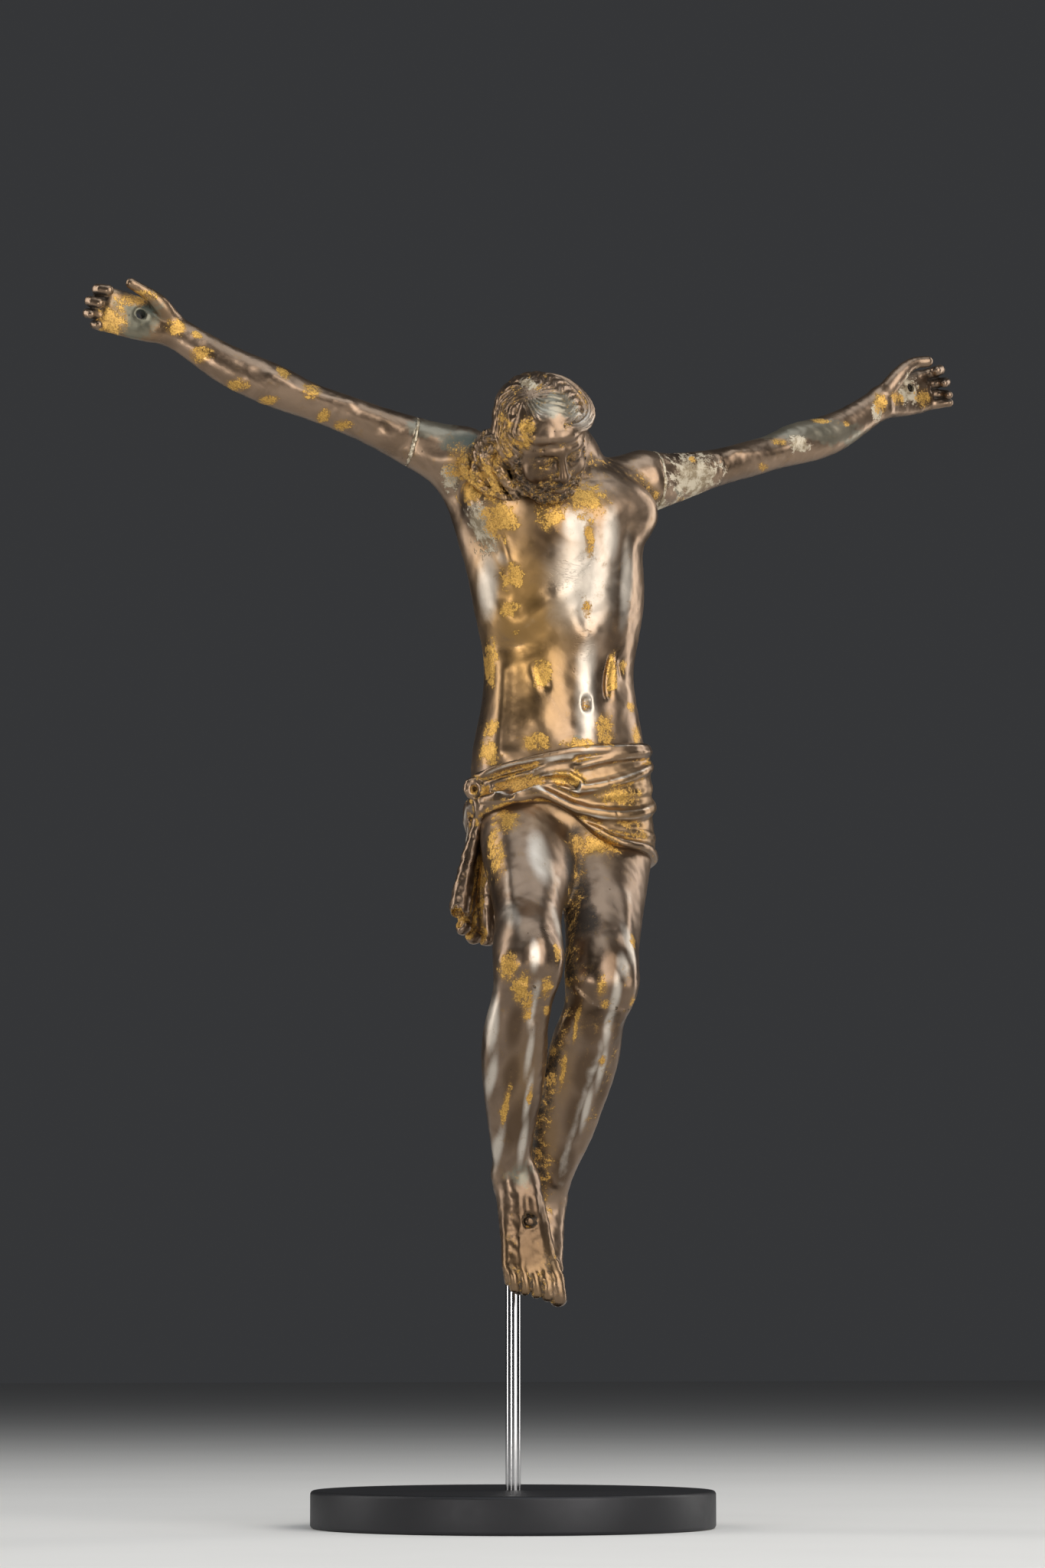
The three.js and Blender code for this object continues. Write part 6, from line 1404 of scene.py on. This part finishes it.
def turned(name, profile, sides, finish):
    """A closed turned piece from its profile, given as radius and height in millimetres. The profile runs
    from axis to axis and goes up on its outer side, so that the faces look outwards."""
    (_, start), *rings, (_, end) = profile
    turns = [2 * math.pi * i / sides for i in range(sides)]
    points = [(r * math.cos(turn), r * math.sin(turn), z) for r, z in rings for turn in turns]
    centre = len(points)
    pairs = [(i, (i + 1) % sides) for i in range(sides)]
    faces = [(centre, j, i) for i, j in pairs]
    faces += [(row + i, row + j, row + sides + j, row + sides + i)
              for row in range(0, centre - sides, sides) for i, j in pairs]
    faces += [(centre + 1, centre - sides + i, centre - sides + j) for i, j in pairs]
    mesh = bpy.data.meshes.new(name)
    mesh.from_pydata((np.array([*points, (0, 0, start), (0, 0, end)]) * MM).tolist(), [], faces)
    mesh.shade_smooth()
    mesh.set_sharp_from_angle(angle=SHARP_ANGLE)
    return linked(name, mesh, finish)


def settle(piece, slot, *nodes):
    """Puts a finished piece on the body of the frame and hides the parts of the frame that it stands for. Its
    slot is not used.
    """
    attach(piece, "root")
    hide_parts(*nodes)


# Sizes and colours that a user would change

def length_property(name, description, default):
    return bpy.props.FloatProperty(name=name, description=description, default=default, unit="LENGTH")


def colour_property(name, description, default):
    return bpy.props.FloatVectorProperty(
        name=name, description=description, default=default, subtype="COLOR", min=0, max=1)


class CorpusSizes(bpy.types.PropertyGroup):
    body_step: length_property("Body detail", "Spacing of the mesh on trunk and legs", 0.82 * MM)
    head_step: length_property("Head detail", "Spacing of the mesh on face, hair and beard", 0.42 * MM)
    cloth_step: length_property("Cloth detail", "Spacing of the mesh on the loincloth", 0.52 * MM)
    arm_step: length_property("Arm detail", "Spacing of the mesh on the arms and hands", 0.5 * MM)
    bead_radius: length_property("Solder bead", "Radius of the solder laid round the arm joints", 0.75 * MM)


class CorpusColours(bpy.types.PropertyGroup):
    bronze: colour_property("Bronze", "Brown of the patinated bronze", (0.31, 0.215, 0.145))
    dark_patina: colour_property("Dark patina", "Darker clouds of the patina", (0.19, 0.128, 0.083))
    # Golden tone of thin gilding, and painted lit bands on the shins.
    golden_patina_and_lit_band: colour_property("Golden patina", "Warm brown left by thin gilding", (0.31, 0.18, 0.065))
    # Painted shade and shadow on legs, thighs and chest, and a darker tone on beard, palm and foot.
    deep_brown_and_shade: colour_property("Deep brown", "Darkest brown of the patina", (0.085, 0.052, 0.03))
    # Mauve tone of legs and arms, and painted shade on legs, feet and head.
    mauve_patina_and_shade: colour_property("Mauve patina", "Dull brown of legs and arms", (0.155, 0.11, 0.08))
    # Bare metal on worn ridges, and painted highlights on shins, knees and chest.
    worn_metal_and_highlight: colour_property("Worn metal", "Metal where the patina is rubbed off", (0.66, 0.60, 0.52))
    # Dark deposits in hollows and pits, and painted shade in grooves, hollows and the gap between the thighs.
    grime_and_shade: colour_property("Grime", "Dark matter in the hollows", (0.016, 0.012, 0.009))
    gold: colour_property("Gold", "Gilding that has stayed", (0.64, 0.385, 0.10))
    tarnished_gold: colour_property("Tarnished gold", "Dull parts of the gilding", (0.33, 0.185, 0.05))
    filler: colour_property("Filler", "Grey filler at the joints", (0.27, 0.21, 0.13))
    solder: colour_property("Solder", "Pale metal of the joints", (0.52, 0.45, 0.34))
    verdigris: colour_property("Verdigris", "Green of corroded bronze", (0.12, 0.16, 0.13))
    steel: colour_property("Steel", "Polished steel of the rod", (0.40, 0.40, 0.41))
    plate: colour_property("Plate", "Black finish of the foot plate", (0.02, 0.02, 0.022))


def cast_all(context, step_name, rows):
    """Casts the pieces of one operator. Rows: name, field, low and high corner of the box that is
    looked through, how much gilding its hollows keep, and the node it stands for."""
    finish = bpy.data.materials.get(BRONZE) or bronze_finish(context.scene.corpus_colours)
    step = getattr(context.scene.corpus_sizes, step_name) / MM
    for name, field, low, high, gild_hollows, node in rows:
        settle(cast(name, field, low, high, step, finish, gild_hollows), "bronze", node)
    return {"FINISHED"}


class CORPUS_OT_body(bpy.types.Operator):
    """Casts the trunk, neck and legs"""
    bl_idname = "corpus.body"
    bl_label = "Trunk and legs"

    def execute(self, context):
        return cast_all(context, "body_step", [
            ("trunk_and_legs", body_field, (-50, -76, 64), (52, 16, 362), 0.35, BODY_NODE)])


class CORPUS_OT_head(bpy.types.Operator):
    """Casts the bowed head with its hair and beard"""
    bl_idname = "corpus.head"
    bl_label = "Head"

    def execute(self, context):
        return cast_all(context, "head_step", [
            ("head", head_field, (-36, -74, 316), (16, -24, 374), 0.35, BODY_NODE)])


class CORPUS_OT_loincloth(bpy.types.Operator):
    """Casts the knotted loincloth and its hanging end"""
    bl_idname = "corpus.loincloth"
    bl_label = "Loincloth"

    def execute(self, context):
        return cast_all(context, "cloth_step", [
            ("loincloth", cloth_field, (-32, -50, 180), (50, 18, 258), 0.8, BODY_NODE)])


class CORPUS_OT_arms(bpy.types.Operator):
    """Casts the two arms with their hands"""
    bl_idname = "corpus.arms"
    bl_label = "Arms"

    def execute(self, context):
        return cast_all(context, "arm_step", [
            ("right_arm_skin", arm_field(SEAM_RIGHT, palm_right),
             (-152, -38, 325), (-34, 10, 400), 0, "right_arm"),
            ("left_arm_skin", arm_field(SEAM_LEFT, palm_left),
             (34, -38, 318), (164, 14, 398), 0, "left_arm")])


class CORPUS_OT_solder(bpy.types.Operator):
    """Lays the beads of tin solder round the joints of the arms"""
    bl_idname = "corpus.solder"
    bl_label = "Solder at the arm joints"

    def execute(self, context):
        finish = solder_finish(context.scene.corpus_colours)
        tree = solder_tree(finish)
        radius = context.scene.corpus_sizes.bead_radius
        for node, seam, low_front, seed in (
                ("right_arm", SEAM_RIGHT, 1, 5), ("left_arm", SEAM_LEFT, 0.7, 11)):
            bead = tree.applied(node + "_solder", seam_path(seam, low_front), finish, {
                "Bead radius": radius, "Lump radius": radius * 0.95, "Seed": seed})
            settle(bead, "bronze", node)
        return {"FINISHED"}


class CORPUS_OT_stand(bpy.types.Operator):
    """Turns the steel rod and the foot plate"""
    bl_idname = "corpus.stand"
    bl_label = "Rod and foot plate"

    def execute(self, context):
        colours = context.scene.corpus_colours
        low, high, top = rod_low.z / MM, rod_high.z / MM, plate_high.z / MM
        profile = [(0, low), (ROD_RADIUS - ROD_EDGE, low), (ROD_RADIUS, low + ROD_EDGE),
                   (ROD_RADIUS, high - ROD_EDGE), (ROD_RADIUS - ROD_EDGE, high), (0, high)]
        settle(turned("steel_rod", profile, ROD_SIDES, steel_finish(colours)), "steel", "support_rod")
        arc = [(PLATE_RADIUS - PLATE_EDGE + PLATE_EDGE * math.sin(a), PLATE_EDGE * math.cos(a))
               for a in np.linspace(0, math.pi / 2, 6)]
        hole = ROD_RADIUS + FIT_GAP
        profile = [(0, 0), *[(r, PLATE_EDGE - z) for r, z in arc],
                   *[(r, top - PLATE_EDGE + z) for r, z in arc[::-1]],
                   (PLATE_RADIUS - FLAT_RIM * PLATE_EDGE, top), (hole, top), (hole, low - FIT_GAP),
                   (0, low - FIT_GAP)]
        plate = turned("round_foot", profile, PLATE_SIDES, plate_finish(colours))
        settle(plate, "black_steel", "foot_plate")
        return {"FINISHED"}


PIXELS_PER_METRE = 4000    # in the photo, at the figure
IMAGE_HEIGHT = 2048
FLOOR_REACH = 6            # metres


def facing(way):
    """The turn of a light or camera that looks along a direction."""
    return way.to_track_quat("-Z", "Y").to_euler()


class CORPUS_OT_stage(bpy.types.Operator):
    """Sets a plain pale floor, soft studio lights and the camera"""
    bl_idname = "corpus.stage"
    bl_label = "Stage"

    def execute(self, context):
        f = Finish("pale_floor")
        shade = f.mix((0.80, 0.79, 0.77), (0.74, 0.73, 0.71), f.noise(0.01))
        mesh = bpy.data.meshes.new("floor")
        far = FLOOR_REACH
        mesh.from_pydata([(-far, -far, 0), (far, -far, 0), (far, far, 0), (-far, far, 0)], [], [(0, 1, 2, 3)])
        floor = linked("floor", mesh, f.close(Base_Color=shade, Roughness=0.9))
        world = bpy.data.worlds.new("soft_room")
        world.use_nodes = True
        room = world.node_tree.nodes["Background"].inputs
        room["Color"].default_value, room["Strength"].default_value = (0.30, 0.31, 0.33, 1), 0.12
        context.scene.world = world
        context.scene.view_settings.view_transform = "Standard"
        target = Vector((0, -0.02, 0.26))
        for name, azimuth, height, far, size, power, shade in (
                ("key", 17, 0.36, 1.35, (1.0, 1.35), 19, (1.0, 0.97, 0.93)),
                ("top", -10, 1.25, 0.45, (1.3, 0.9), 8, (0.84, 0.92, 1.0)),
                ("left_edge", -114, 0.35, 1.1, (0.35, 1.4), 7.5, (1.0, 0.98, 0.95)),
                ("right_edge", 96, 0.30, 1.1, (0.35, 1.4), 7.0, (1.0, 0.98, 0.95)),
                ("low_front", -48, -0.16, 1.2, (0.3, 0.18), 2.6, (1.0, 0.97, 0.93))):
            light = bpy.data.lights.new(name, "AREA")
            light.shape, light.size, light.size_y = "RECTANGLE", size[0], size[1]
            light.energy, light.color = power, shade
            lamp = linked(name, light)
            turn = math.radians(azimuth)
            lamp.location = target + Vector((math.sin(turn) * far, -math.cos(turn) * far, height))
            lamp.rotation_euler = facing(target - lamp.location)
        camera = bpy.data.cameras.new("camera")
        azimuth, elevation, far = math.radians(-20), math.radians(-7), 1.5
        camera.sensor_width = 36
        camera.lens = PIXELS_PER_METRE * far / IMAGE_HEIGHT * camera.sensor_width
        back = Vector((math.sin(azimuth) * math.cos(elevation), -math.cos(azimuth) * math.cos(elevation),
                       math.sin(elevation)))
        aim = Vector((math.cos(azimuth) * 0.003, math.sin(azimuth) * 0.003, 0.24))
        view = linked("camera", camera)
        view.location = aim + back * far
        view.rotation_euler = facing(-back)
        context.scene.camera = view
        return {"FINISHED"}


class CORPUS_PT_panel(bpy.types.Panel):
    """Sizes, colours and pieces of the corpus figure"""
    bl_label = "Corpus figure"
    bl_idname = "CORPUS_PT_panel"
    bl_space_type = "VIEW_3D"
    bl_region_type = "UI"
    bl_category = "Corpus"

    def draw(self, context):
        for group in (context.scene.corpus_sizes, context.scene.corpus_colours):
            for name in group.__annotations__:
                self.layout.prop(group, name)
        for operator in OPERATORS:
            self.layout.operator(operator.bl_idname)


OPERATORS = (CORPUS_OT_body, CORPUS_OT_head, CORPUS_OT_loincloth, CORPUS_OT_arms, CORPUS_OT_solder,
             CORPUS_OT_stand, CORPUS_OT_stage)
CLASSES = (CorpusSizes, CorpusColours, *OPERATORS, CORPUS_PT_panel)


def register():
    for cls in CLASSES:
        bpy.utils.register_class(cls)
    bpy.types.Scene.corpus_sizes = bpy.props.PointerProperty(type=CorpusSizes)
    bpy.types.Scene.corpus_colours = bpy.props.PointerProperty(type=CorpusColours)


def unregister():
    del bpy.types.Scene.corpus_colours
    del bpy.types.Scene.corpus_sizes
    for cls in reversed(CLASSES):
        bpy.utils.unregister_class(cls)


def main():
    register()
    bpy.ops.corpus.body()
    bpy.ops.corpus.head()
    bpy.ops.corpus.loincloth()
    bpy.ops.corpus.arms()
    bpy.ops.corpus.solder()
    bpy.ops.corpus.stand()
    bpy.ops.corpus.stage()


if __name__ == "__main__":
    main()
